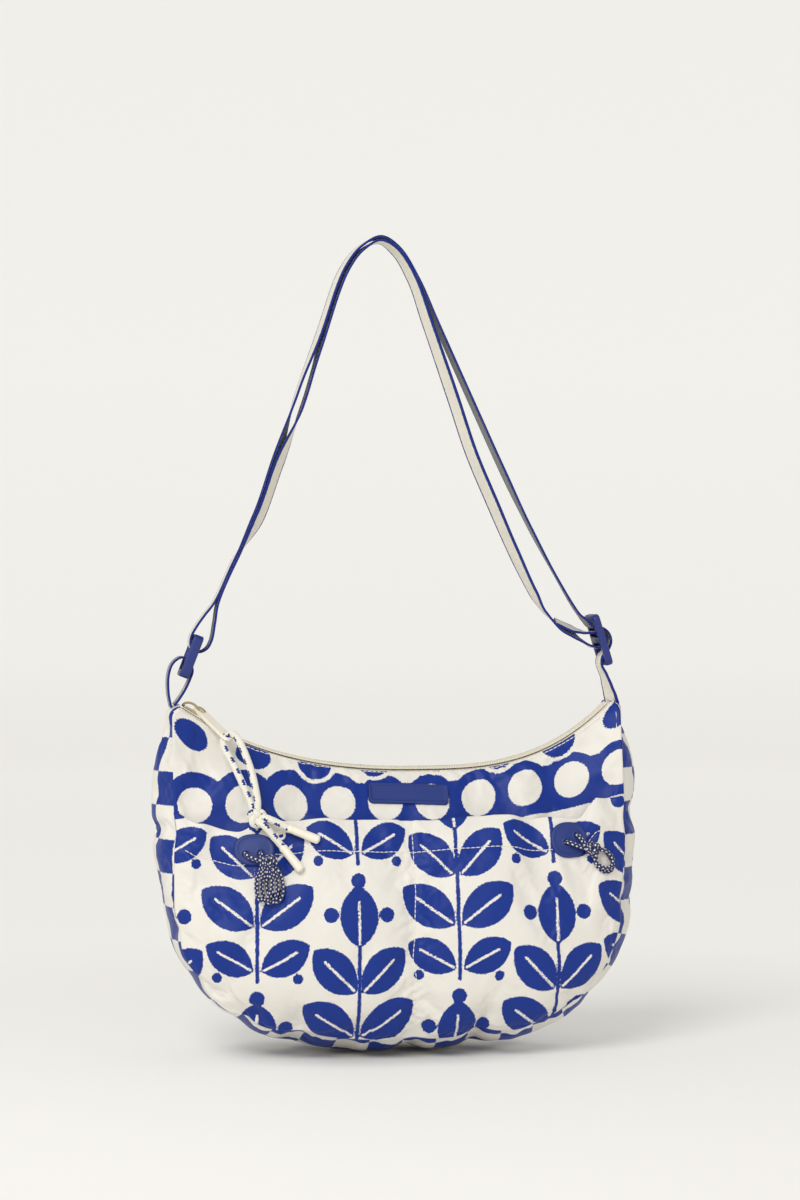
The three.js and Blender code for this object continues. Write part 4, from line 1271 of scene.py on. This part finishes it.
def zip_tape(name, node, side):
    u, t = cloth_grid(*TAPE_GRID)
    x = lerp(-TAPE_END, TAPE_END, u)
    y = side * lerp(edge_half(x) - 0.1, GAP / 2, t)
    drop = lerp(0.05, ZIP_TAPE_DROP, smoothstep(t, 0.1, 0.5))
    points = np.stack((x, y, zip_surface(x, y) - drop), -1)
    tape = Builder().grid(points, np.stack((x, y), -1), flip=side == BACK)
    solidify(tape.piece(name, TAPE, (node,), "zip_tape"), TAPE_THICK)


zip_tape("tape_front", "zip_tape_front", FRONT)
zip_tape("tape_back", "zip_tape_back", BACK)


def zip_coil():
    """A half-round coil whose turns from the two sides lie between each other."""
    x, angle = np.meshgrid(np.arange(-ZIP_END, ZIP_END, 0.22), np.linspace(0, math.pi, 25), indexing="ij")
    lean = zip_lean(x)
    up = np.stack((-np.sin(lean), 0 * lean, np.cos(lean)), -1)
    across = np.cos(angle)
    phase = 2 * math.pi * x / TOOTH_PITCH
    turns = np.cos(phase + math.pi * smoothstep(across, -0.12, 0.12))
    rise = (ZIP_COIL_RISE + ZIP_TAPE_DROP - 2 * GAP) * np.sin(angle) ** 0.7 * (0.8 + 0.2 * turns)
    rise = rise * (1 - 0.28 * bell(across, 0.1))
    reach = ZIP_COIL_WIDTH / 2 * across * (0.94 + 0.06 * turns)
    base = np.stack((x, reach, zip_surface(x, 0 * x)), -1)
    points = base + up * (2 * GAP - ZIP_TAPE_DROP + rise)[..., None]
    uv = np.stack((x, reach), -1)
    Builder().grid(points, uv).piece("coil_teeth", COIL_NYLON, ("zip_coil",), "zip_coil")


zip_coil()

slider_lean = float(zip_lean(SLIDER_X))
ZIP_ALONG = np.array((math.cos(slider_lean), 0, math.sin(slider_lean)))
ZIP_UP = np.array((-math.sin(slider_lean), 0, math.cos(slider_lean)))
SLIDER_MIDDLE = np.array((SLIDER_X, 0, float(zip_surface(SLIDER_X, 0))))
SLIDER_MIDDLE = SLIDER_MIDDLE + ZIP_UP * (ZIP_COIL_RISE + GAP + SLIDER_THICK / 2)


def zip_slider():
    """A waisted plate with a crowned top, and a wire bail over it."""
    builder = Builder()
    s, angle = np.meshgrid(np.linspace(-1, 1, 41), np.linspace(0, 2 * math.pi, 33), indexing="ij")
    end = np.sqrt(np.clip(1 - np.abs(s) ** 5, 0, 1))
    half = SLIDER_WIDTH / 2 * end * (1 - 0.2 * bell(s - 0.15, 0.35) - 0.12 * np.clip(s, 0, 1))
    squared = np.sign(np.cos(angle)) * np.abs(np.cos(angle)) ** 0.5
    lifted = np.sign(np.sin(angle)) * np.abs(np.sin(angle)) ** 0.5
    thick = SLIDER_THICK / 2 * end * (1 + 0.25 * bell(s, 0.5) * (lifted > 0))
    points = (
        SLIDER_MIDDLE + ZIP_ALONG * (s * SLIDER_LENGTH / 2)[..., None]
        + np.array((0, 1, 0)) * (half * squared)[..., None] + ZIP_UP * (thick * lifted)[..., None]
    )
    builder.grid(points, np.stack((s * SLIDER_LENGTH / 2, half * squared), -1), flip=True)
    turn = np.linspace(-0.12, math.pi + 0.12, 40)
    arch = SLIDER_MIDDLE + np.cos(turn)[:, None] * ZIP_ALONG * BAIL_RADIUS
    arch = arch + np.sin(turn)[:, None] * ZIP_UP * BAIL_RISE
    builder.closed_tube(arch, lambda angle, place: BAIL_WIRE / 2, 14)
    builder.piece("slider_body", BRASS_METAL, ("zip_slider",), "slider_brass")


zip_slider()

forward, along, down = TAB_LEAN
TAB_ALONG = unit(np.array((0, -forward, 0)) + ZIP_ALONG * along - ZIP_UP * down)
TAB_ACROSS = unit(np.array((0, 1, 0)) - TAB_ALONG * TAB_ALONG[1])
TAB_ROLL = math.radians(32)
TAB_ACROSS = TAB_ACROSS * math.cos(TAB_ROLL) + np.cross(TAB_ALONG, TAB_ACROSS) * math.sin(TAB_ROLL)
TAB_TOP = SLIDER_MIDDLE + ZIP_ALONG * BAIL_RADIUS * math.cos(BAIL_THREAD)
TAB_TOP = TAB_TOP + ZIP_UP * (BAIL_RADIUS * math.sin(BAIL_THREAD) + SLIDER_THICK / 2)


def pull_tab():
    half = TAB_WIDTH / 2
    right = np.linspace(-math.pi / 2, math.pi / 2, 24)
    left = np.linspace(math.pi / 2, 1.5 * math.pi, 24)
    edge = [(TAB_PITCH + half * math.cos(t), half * math.sin(t)) for t in right]
    edge += [(half - TAB_END + half * math.cos(t), half * math.sin(t)) for t in left]
    slot = rounded_box(*TAB_SLOT)[::-1]
    turn = np.linspace(2 * math.pi, 0, 37)[:-1]
    hole = np.stack((TAB_PITCH + TAB_HOLE / 2 * np.cos(turn), TAB_HOLE / 2 * np.sin(turn)), -1)
    cut_plate(
        "tab_plate", [edge, slot, hole], TAB_THICK, 0.6, TAB_TOP, TAB_ALONG, TAB_ACROSS, BONE_PLASTIC,
        ("pull_tab",),
    )
    up = np.cross(TAB_ALONG, TAB_ACROSS)
    builder = Builder()
    for face in (-1, 1):
        ring = rounded_box(TAB_SLOT[0] + 0.3, TAB_SLOT[1] + 0.3, TAB_SLOT[2])
        ring = np.concatenate((ring, ring[:2]))
        line = TAB_TOP + ring[:, :1] * TAB_ALONG + ring[:, 1:] * TAB_ACROSS + up * face * TAB_THICK / 2
        builder.closed_tube(line, lambda angle, place: 0.45, 8, caps=False)
    builder.piece("tab_eyelet", BRASS_METAL, (), "slider_brass")


pull_tab()

# Rubber trim and the eyelet


def boxed_ring(width, height, corner):
    """Rings of a rounded box, each a distance in from its edge."""

    def ring(inset):
        return rounded_box(width - 2 * inset, height - 2 * inset, max(corner - inset, 0.08), 16)

    return ring


def oval_ring(width, height, squareness=2.3):
    """Rings of a squarish oval, each scaled down so that it lies a distance in from the edge."""
    turn = np.linspace(0, 2 * math.pi, 73)[:-1]
    c, s = np.cos(turn), np.sin(turn)
    size = (np.abs(c) ** squareness + np.abs(s) ** squareness) ** (-1 / squareness)

    def ring(inset):
        scale = max(1 - 2 * inset / min(width, height), 0.01)
        return np.stack((width / 2 * c * size, height / 2 * s * size), -1) * scale

    return ring


def laid_plate(name, ground, x, z, turn, ring_of, profile, holes, material, node, slot, inner=True):
    """A moulded plate bent onto a surface. profile gives each ring's distance in and its height."""
    c, s = math.cos(math.radians(turn)), math.sin(math.radians(turn))
    rows, flats = [], []
    for inset, height in profile:
        row, flat = [], []
        for a, b in ring_of(inset):
            at_x, at_z = x + a * c - b * s, z + a * s + b * c
            lift = height
            for hole_x, hole_z in holes:
                away = math.hypot(at_x - hole_x, at_z - hole_z) / TAB_HOLE_RADIUS
                lift = lerp(0.15, lift, float(smoothstep(away, 0.75, 1.05)))
                lift += 0.35 * float(bell(away - 1.35, 0.25))
            row.append(ground.over(at_x, at_z, GAP + lift))
            flat.append((a, b))
        rows.append(row + row[:1])
        flats.append(flat + flat[:1])
    points, uv = np.array(rows), np.array(flats)
    builder = Builder().grid(points, uv)
    if inner:
        last = (len(rows) - 1) * points.shape[1]
        builder.faces.append([last + k for k in range(points.shape[1] - 1)])
    builder.piece(name, material, (node,), slot)


BADGE_PROFILE = (
    (0, -0.3), (0.02, 1.0), (0.15, 1.7), (0.4, 2.05), (0.7, 2.2), (1.2, 2.2), (1.45, 2.1), (1.7, 1.75),
    (1.9, 1.4), (2.2, 1.3), (3.4, 1.28), (4.8, 1.28), (6.2, 1.28),
)
badge_x, badge_z, badge_width, badge_height, badge_turn = BADGE
laid_plate(
    "badge_plate", FRONT_GROUND, badge_x, badge_z, badge_turn, boxed_ring(badge_width, badge_height, 3.0),
    BADGE_PROFILE, (), RUBBER, "badge", "blue_rubber",
)

RIM_PROFILE = (
    (0, -0.3), (0.02, 0.9), (0.2, 1.7), (0.6, 2.3), (1.1, 2.58), (1.7, 2.6), (2.2, 2.45), (2.6, 2.3),
)
for side, (x, z, width, height, holes) in (("left", LEFT_TAB), ("right", RIGHT_TAB)):
    field = [(inset, 2.3 + 0.25 * smoothstep(inset, 3, 9)) for inset in np.linspace(3, height / 2 - 0.1, 26)]
    laid_plate(
        f"tab_{side}", POCKET_GROUND, x, z, 0, oval_ring(width, height), (*RIM_PROFILE, *field), holes,
        RUBBER, f"cord_tab_{side}", "blue_rubber",
    )

EYELET_PROFILE = (
    (0, -0.2), (0.05, 0.5), (0.3, 1.0), (0.8, 1.2), (1.3, 1.15), (1.7, 0.9), (1.95, 0.3), (2.0, -0.2),
)
eyelet_x, eyelet_z, eyelet_radius = EYELET
laid_plate(
    "eyelet_ring", POCKET_GROUND, eyelet_x, eyelet_z, 0, oval_ring(2 * eyelet_radius, 2 * eyelet_radius, 2),
    EYELET_PROFILE, (), BONE_PLASTIC, "hem_eyelet", "bone_plastic", inner=False,
)

# Folds of the cloth

# Columns and rows of the cloth's grids, and of the coarse ones that are simulated
PANEL_GRID = (240, 120)
PANEL_COARSE = (96, 60)
POCKET_GRID = (260, 130)
POCKET_COARSE = (120, 60)
GUSSET_GRID = (460, 50)
GUSSET_COARSE = (200, 24)
# Spare length of the simulated cloth as a share, and the most that a point moves
PANEL_BUCKLE = (0.035, 3.0)
POCKET_BUCKLE = (0.035, 2.6)
GUSSET_BUCKLE = (0.045, 3.0)
# Seeds of the folds
FRONT_SEED = 11
BACK_SEED = 23
POCKET_SEED = 31
POCKET_BUCKLE_SEED = 37
HEM_SEED = 41
GUSSET_SEEDS = (51, 53)
GUSSET_BUCKLE_SEED = 57
# Creases at the seams: height and pitch of the fine and of the broad ones
FINE_CREASE = (1.6, 6.5)
BROAD_CREASE = (0.9, 15)
# How far creases reach in, how much that varies, and the pitch at which it does
CREASE_REACH = (13, 8, 23)
# Creases grow from nothing at the seam over about this width
CREASE_START = 2.5
# Creases at the puckers, as shares of their depth and reach
PUCKER_CREASE = (0.6, 0.55)
# Shares of a grid over which its seams, the pocket's middle and the gusset's seams hold it
SEAM_HOLD = 0.03
MIDDLE_HOLD = 0.02
GUSSET_HOLD = 0.05
# Puckers along the zip: height, pitch, reach down from it
TOP_PUCKER = (0.8, 10, 16)
PANEL_HEIGHT = 180
GUSSET_WIDTH = 80
GUSSET_CREASE_REACH = 16
# How fast folds grow in from the edges of the panels and of the pocket
PANEL_EASE = 12
POCKET_EASE = 30
# The front panel's folds fade out under the hem, between these shares of its height from it
HEM_COVER = (-0.07, 0.01)
TOPSTITCH_DEPTH = 2.4
# Places where trim holds the cloth flat: x, z, reach
HELD_FLAT = (
    (-16, 171, 13), (-2, 170.5, 13), (13, 170, 13), (28, 169.5, 13),
    (-103, 135, 13), (115, 139, 13), (-85, 144.5, 6),
)


def slack(x, z):
    """How free the cloth is to fold, 0 under trim and 1 well away from it."""
    held = 0
    for at_x, at_z, reach in HELD_FLAT:
        held = np.maximum(held, bell(np.hypot(x - at_x, z - at_z), reach))
    return 1 - held


def seam_folds(u, v, points, side, seed):
    """Creases that run in from the seams of a panel's grid, in millimetres along its normal."""
    wide = np.linalg.norm(np.diff(points, axis=1), axis=-1).sum(1)[:, None]
    high = np.linalg.norm(np.diff(points, axis=0), axis=-1).sum(0)[None, :]
    edges = (
        (lerp(LEFT_CORNER, RIGHT_CORNER, u), v * high),
        (LEFT_CORNER * (1 - v), u * wide),
        (lerp(RIGHT_CORNER, 1, v), (1 - u) * wide),
    )
    reach, spread, spread_pitch = CREASE_REACH
    (fine, fine_pitch), (broad, broad_pitch) = FINE_CREASE, BROAD_CREASE
    deep, near = PUCKER_CREASE
    total, weight = 0, 1e-6
    for share, distance in edges:
        place = share * SEAM_LENGTH
        fade = np.exp(-distance / (reach + spread * ripple(place, spread_pitch, seed + 1)))
        crease = fine * ripple(place, fine_pitch, seed) + broad * ripple(place, broad_pitch, seed + 2)
        if side == FRONT:
            for at, depth, width in PUCKERS:
                crease = crease - deep * depth * bell(place - at * SEAM_LENGTH, near * width)
        crease = crease * (1 - np.exp(-distance / CREASE_START))
        total, weight = total + crease * fade**2, weight + fade
    return total / weight


SIM_SCALE = 10.0
SIM_FRAMES = 24
# Unevenness that the cloth starts with
SIM_UNEVEN = 0.25
SIM_SETTINGS = {
    "quality": 5, "mass": 0.3, "tension_stiffness": 25, "compression_stiffness": 25,
    "shear_stiffness": 8, "bending_stiffness": 1.2, "air_damping": 4,
}


def buckled(points, normal, held, spare, cap, seed):
    """How far a grid of cloth with spare length buckles along its normals, in millimetres.

    The cloth is held where held is 1, and cap is the most that a point may move.
    """
    rows, columns = points.shape[:2]
    uneven = SIM_UNEVEN * np.random.default_rng(seed).uniform(-1, 1, (rows, columns))
    start = (points + normal * uneven[..., None]).reshape(-1, 3) * MM * SIM_SCALE
    mesh = bpy.data.meshes.new("buckling")
    mesh.from_pydata(start.tolist(), [], grid_faces(rows, columns).tolist())
    sheet = new_object("buckling", mesh)
    scene = bpy.context.scene
    group = sheet.vertex_groups.new(name="held")
    for index, weight in enumerate(held.ravel()):
        if weight > 0.01:
            group.add([index], float(weight), "REPLACE")
    cloth = sheet.modifiers.new("buckling", "CLOTH")
    for key, value in SIM_SETTINGS.items():
        setattr(cloth.settings, key, value)
    cloth.settings.shrink_min = -spare
    cloth.settings.vertex_group_mass = "held"
    cloth.settings.effector_weights.gravity = 0
    cloth.collision_settings.use_collision = False
    cloth.point_cache.frame_end = SIM_FRAMES
    for step in range(1, SIM_FRAMES + 1):
        scene.frame_set(step)
    made = sheet.evaluated_get(bpy.context.evaluated_depsgraph_get()).data
    moved = np.empty(rows * columns * 3, np.float32)
    made.vertices.foreach_get("co", moved)
    moved = moved.reshape(rows, columns, 3) / (MM * SIM_SCALE)
    scene.frame_set(1)
    bpy.data.objects.remove(sheet)
    bpy.data.meshes.remove(mesh)
    shift = ((moved - points) * normal).sum(-1)
    return cap * np.tanh(shift / cap)


def refined(values, columns, rows):
    """A coarse grid's values on a finer one, smoothed so that the coarse cells don't show."""
    for axis, count in ((1, columns), (0, rows)):
        place = np.linspace(0, values.shape[axis] - 1, count)
        cell = np.minimum(place.astype(int), values.shape[axis] - 2)
        values = np.moveaxis(values, axis, -1)
        ahead = np.minimum(cell + 2, values.shape[-1] - 1)
        p0, p1 = values[..., np.maximum(cell - 1, 0)], values[..., cell]
        p2, p3 = values[..., cell + 1], values[..., ahead]
        t = place - cell
        bend = p1 + 0.5 * t * (p2 - p0 + t * (2 * p0 - 5 * p1 + 4 * p2 - p3 + t * (3 * (p1 - p2) + p3 - p0)))
        values = np.moveaxis(bend, -1, axis)
    return values


def with_rows(sheet, moves):
    """A sheet of point, uv and print values with rows added before its first, each moved from it."""
    added = []
    for move in moves:
        row = sheet[0].copy()
        row[:, :3] += move
        added.append(row)
    return np.concatenate((np.array(added[::-1]), sheet))


def turned_under(sheet, steps):
    """A sheet with rows before its first that double back under it. steps gives rows in and depths."""
    added = []
    for rows_in, depth in steps:
        row = sheet[rows_in].copy()
        row[:, :3] -= depth * row[:, -3:]
        added.append(row)
    return np.concatenate((np.array(added[::-1]), sheet))


def seamed(sheet, steps):
    """A sheet whose bottom, left and right edges are turned under."""
    sheet = turned_under(sheet, steps)
    sheet = turned_under(sheet.swapaxes(0, 1), steps)
    return turned_under(sheet[::-1], steps)[::-1].swapaxes(0, 1)


def printed_sheet(points, outward, flat, ink, rib):
    """A grid's points, flat coordinates, print and outward normals side by side."""
    return np.concatenate((points, flat, ink[..., None], rib[..., None], normals_of(points) * outward), -1)


def depth_line(points, depth):
    """The line across a grid that lies a distance down from its last row."""
    upside = points[::-1]
    down = lengths_along(upside)
    return np.array([points_at(depth, down[:, k], upside[:, k]) for k in range(points.shape[1])])


SHEET_THICK = 0.5


def sheet_piece(name, sheet, material, node, flip=False):
    rows, columns = sheet.shape[:2]
    flat = sheet.reshape(-1, sheet.shape[2])
    attributes = {"ink": flat[:, 5], "rib": flat[:, 6]} if flat.shape[1] > 5 else None
    faces = grid_faces(rows, columns, flip=flip)
    piece = add_piece(name, flat[:, :3], faces, material, (node,), flat[:, 3:5], attributes)
    solidify(piece, SHEET_THICK)
    return piece


# Rows of a sheet turned under at its seams, with their depths
TURNED = ((0, 0.5), (1, 0.9), (3, 1.1))


def edge_hold(u, v, reach):
    """1 at the seams and the top edge of a grid, fading over a share of it."""
    near = np.minimum(np.minimum(u, 1 - u), np.minimum(v, 1 - v))
    return 1 - smoothstep(near, 0, reach)


def panel_buckles(side, seed):
    u, v = cloth_grid(*PANEL_COARSE)
    points = panel_point(u, v, side)
    held = edge_hold(u, v, SEAM_HOLD)
    if side == FRONT:
        held = np.maximum(held, 1 - slack(points[..., 0], points[..., 2]))
    return buckled(points, normals_of(points) * -side, held, *PANEL_BUCKLE, seed)


def panel(name, node, side, print_of, seed):
    u, v = cloth_grid(*PANEL_GRID)
    points = panel_point(u, v, side)
    normal = normals_of(points) * -side
    x, z = points[..., 0], points[..., 2]
    ink, rib = print_of(x, z)
    flat = points[..., (0, 2)]
    fold = seam_folds(u, v, points, side, seed) + refined(panel_buckles(side, seed), *PANEL_GRID)
    height, pitch, reach = TOP_PUCKER
    top = np.exp(-(1 - v) * PANEL_HEIGHT / reach)
    fold = fold + height * top * ripple(x, pitch, seed + 7) * np.sin(np.pi * u)
    fold = fold * np.minimum(1, swell(u) * swell(v) * PANEL_EASE)
    if side == FRONT:
        fold = fold * slack(x, z)
        fold = fold * smoothstep(v - hem_row(u[0])[None, :], *HEM_COVER)
    points = points + normal * fold[..., None]
    stitches(f"{name}_topstitch", depth_line(points, TOPSTITCH_DEPTH)[6:-6], normal[-1, 6:-6])
    sheet = printed_sheet(points, -side, flat, ink, rib)
    sheet = turned_under(sheet[::-1], TURNED)[::-1]
    piece = sheet_piece(name, seamed(sheet, TURNED), PRINTED, node, flip=side == BACK)


panel("front_cloth", "front_panel", FRONT, dot_print, FRONT_SEED)
panel("back_cloth", "back_panel", BACK, leaf_print, BACK_SEED)

# Depth of the stitches under the hem's tunnel, and the reach of their pull
HEM_TUNNEL = 23.0
TUNNEL_STITCH = 2
# The tunnel's swell: its height, also that of the pull, the depth of its crest, and its reach
TUNNEL_HEIGHT = 0.9
TUNNEL_CREST = 11
TUNNEL_REACH = 8
# Gathers under the hem: height, pitch, reach
HEM_GATHER = (1.1, 13, 24)
# The pocket folds in full where it stands this far off the panel, and it comes no nearer than the second
POCKET_LOOSE = 4
POCKET_CLEAR = 0.4
# The hem's rounded crest, up and in from its edge, and the rows turned under it with their depths
HEM_CREST = ((0.5, 0.2), (0.8, 0.8), (0.5, 1.5))
HEM_UNDER = ((2, 1.8), (7, 1.9), (13, 1.9))


def pocket_buckles():
    """The pocket is held at its seams, its middle line and its trim."""
    u, v, w, base, normal, gap, points = pocket_surface(*POCKET_COARSE)
    middle = 1 - smoothstep(np.abs(u - POCKET_MIDDLE_U), 0, MIDDLE_HOLD)
    held = np.maximum(edge_hold(u, np.minimum(w, 0.5), SEAM_HOLD), middle)
    held = np.maximum(held, 1 - slack(base[..., 0], base[..., 2]))
    return buckled(points, normal, held, *POCKET_BUCKLE, POCKET_BUCKLE_SEED)


def pocket():
    u, v, w, base, normal, gap, points = pocket_surface(*POCKET_GRID)
    x, z = base[..., 0], base[..., 2]
    below = lengths_along(points[::-1])[::-1]
    soft = np.clip(gap / POCKET_LOOSE, 0, 1)
    fold = seam_folds(u, v, points, FRONT, POCKET_SEED) + refined(pocket_buckles(), *POCKET_GRID)
    height, pitch, reach = HEM_GATHER
    fold = fold + np.exp(-below / reach) * soft * height * ripple(x, pitch, HEM_SEED)
    fold = fold * slack(x, z)
    swollen = TUNNEL_HEIGHT * bell(below - TUNNEL_CREST, TUNNEL_REACH)
    fold = fold + soft * (swollen - TUNNEL_HEIGHT * bell(below - HEM_TUNNEL, TUNNEL_STITCH))
    fold = fold * np.minimum(1, np.minimum(w, np.minimum(u, 1 - u)) * POCKET_EASE)
    points = points + normal * np.maximum(fold, POCKET_CLEAR - gap)[..., None]
    middle = int(round(POCKET_MIDDLE_U * (points.shape[1] - 1)))
    stitches("hem_stitches", depth_line(points, HEM_TUNNEL)[5:-5], normal[-1, 5:-5])
    stitches("middle_stitches", points[4:, middle], normal[4:, middle])
    ink, rib = leaf_print(x, z)
    sheet = printed_sheet(points, 1, base[..., (0, 2)], ink, rib)[::-1]
    rise = units(points[-1] - points[-2])
    crest = with_rows(sheet, [rise * a - normal[-1] * b for a, b in HEM_CREST])
    under = turned_under(sheet, HEM_UNDER)[: len(HEM_UNDER)]
    sheet = np.concatenate((under, crest))[::-1]
    piece = sheet_piece("pocket_cloth", seamed(sheet, TURNED), PRINTED, "pocket")


pocket()

# Gusset

# Rows turned in at the gusset's seams: how far in and how far across
GUSSET_TUCK = ((0.4, 0.3), (3, 0.3))


def gusset_surface(columns, rows):
    """The gusset's shares, the surface between its seams, its outward way, its bulge's height and rise."""
    share, across = cloth_grid(columns, rows)
    front, back = seam(share, FRONT), seam(share, BACK)
    front[..., 1] += CLOTH + GAP
    back[..., 1] -= CLOTH + GAP
    base = lerp(back, front, across[..., None])
    out = outward_at(share)
    way = np.stack((out[..., 0], 0 * share, out[..., 1]), -1)
    return share, across, base, way, between(BULGES, share), np.sin(np.pi * across) ** GUSSET_ROUNDNESS


def gusset_buckles():
    share, across, base, way, height, rise = gusset_surface(*GUSSET_COARSE)
    held = edge_hold(0.5 + 0 * share, across, GUSSET_HOLD)
    points = base + way * (height * rise)[..., None]
    return buckled(points, way, held, *GUSSET_BUCKLE, GUSSET_BUCKLE_SEED)


def gusset():
    share, across, base, way, height, rise = gusset_surface(*GUSSET_GRID)
    place = share * SEAM_LENGTH
    crease, pitch = FINE_CREASE
    fold = 0
    for seed, away in zip(GUSSET_SEEDS, (1 - across, across)):
        fold = fold + np.exp(-away * GUSSET_WIDTH / GUSSET_CREASE_REACH) * ripple(place, pitch, seed)
    fold = crease * fold * np.minimum(1, rise * 2.5) + refined(gusset_buckles(), *GUSSET_GRID)
    bulge = height * rise + fold * np.minimum(1, height / 5)
    points = base + way * bulge[..., None]
    width = lengths_along(points)
    uv = np.stack((place, width - width[-1] / 2 + CHECK / 2), -1)
    inward = [(0, b, 0) - way[0] * a for a, b in GUSSET_TUCK]
    sheet = with_rows(np.concatenate((points, uv), -1), inward)
    outward = [move * (1, -1, 1) for move in inward]
    sheet = with_rows(sheet[::-1], outward)[::-1]
    piece = sheet_piece("gusset_cloth", sheet, CHECKED, "gusset")


gusset()

# Light and stage

KEY_PLACE = (-1.1, -1.9, 1.3)
KEY_TARGET = (0, 0, -0.4)
KEY_SIZE = 1.4
KEY_POWER = 39
SKY = (1, 0.995, 0.98, 1)
SKY_STRENGTH = 0.47
# Stage, in metres
STAGE_RADIUS = 3.2
STAGE_BEND = 0.8
STAGE_TOP = 2.3
STAGE_SIDES = 96
WALL_FADE = 0.25
# Squared distances over which the paper changes, and over which its glow starts beside the bag
PAPER_FADE = (0.03, 0.5)
GLOW_FADE = (0.0, 0.007)
GLOW_SQUASH = 0.4
# Paper under the bag, on the floor further off and on the wall, and their light from behind
NEAR_PAPER = (0.905, 0.90, 0.88)
FLOOR_PAPER = (0.57, 0.56, 0.54)
WALL_PAPER = (0.62, 0.617, 0.605)
GLOW = (0.80, 0.795, 0.78)
NEAR_GLOW = (0.46, 0.455, 0.445)
BLACK = (0.0, 0.0, 0.0)


def add_stage():
    """A pale floor that curves up into a backdrop all round."""
    profile = [(0.0, 0.0), (STAGE_RADIUS, 0.0)]
    for angle in np.linspace(0, math.pi / 2, 13)[1:]:
        rise = STAGE_BEND - STAGE_BEND * math.cos(angle)
        profile.append((STAGE_RADIUS + STAGE_BEND * math.sin(angle), rise))
    profile.append((STAGE_RADIUS + STAGE_BEND, STAGE_TOP))
    sides = STAGE_SIDES
    floor = world((0, 0, FLOOR_Z))[2]
    points, faces = [], []
    for reach, rise in profile:
        for k in range(sides):
            angle = 2 * math.pi * k / sides
            points.append((reach * math.cos(angle), reach * math.sin(angle), floor + rise))
    for j in range(len(profile) - 1):
        for k in range(sides):
            n = (k + 1) % sides
            faces.append((j * sides + k, j * sides + n, (j + 1) * sides + n, (j + 1) * sides + k))
    mesh = bpy.data.meshes.new("studio")
    mesh.from_pydata(points, [], faces)
    mesh.polygons.foreach_set("use_smooth", np.ones(len(faces), bool))
    studio = new_object("studio", mesh)
    shader = Shader("studio_paper")
    x, y, z = shader.place()
    wall = z.ramp(floor, floor + WALL_FADE)
    away = (x * x + y * y).ramp(*PAPER_FADE)
    paper = shader.mix(away, NEAR_PAPER, shader.mix(wall, FLOOR_PAPER, WALL_PAPER))
    clear = (x * x * GLOW_SQUASH + y * y).ramp(*GLOW_FADE)
    glow = shader.mix(clear, BLACK, shader.mix(away, NEAR_GLOW, GLOW))
    shader.feed(shader.principled.inputs["Emission Color"], glow)
    mesh.materials.append(shader.finish(paper, 0.9, Emission_Strength=1.0))


def add_lights():
    """A soft room and one large lamp at the front left."""
    sky = bpy.data.worlds.new("soft_room")
    sky.use_nodes = True
    background = sky.node_tree.nodes["Background"]
    background.inputs["Color"].default_value = SKY
    background.inputs["Strength"].default_value = SKY_STRENGTH
    bpy.context.scene.world = sky
    data = bpy.data.lights.new("key", "AREA")
    data.shape = "DISK"
    data.size = KEY_SIZE
    data.energy = KEY_POWER
    light = new_object("key", data)
    light.location = KEY_PLACE
    light.rotation_euler = (Vector(KEY_TARGET) - Vector(KEY_PLACE)).to_track_quat("-Z", "Y").to_euler()


add_stage()
add_lights()
bpy.context.scene.view_settings.view_transform = "Standard"
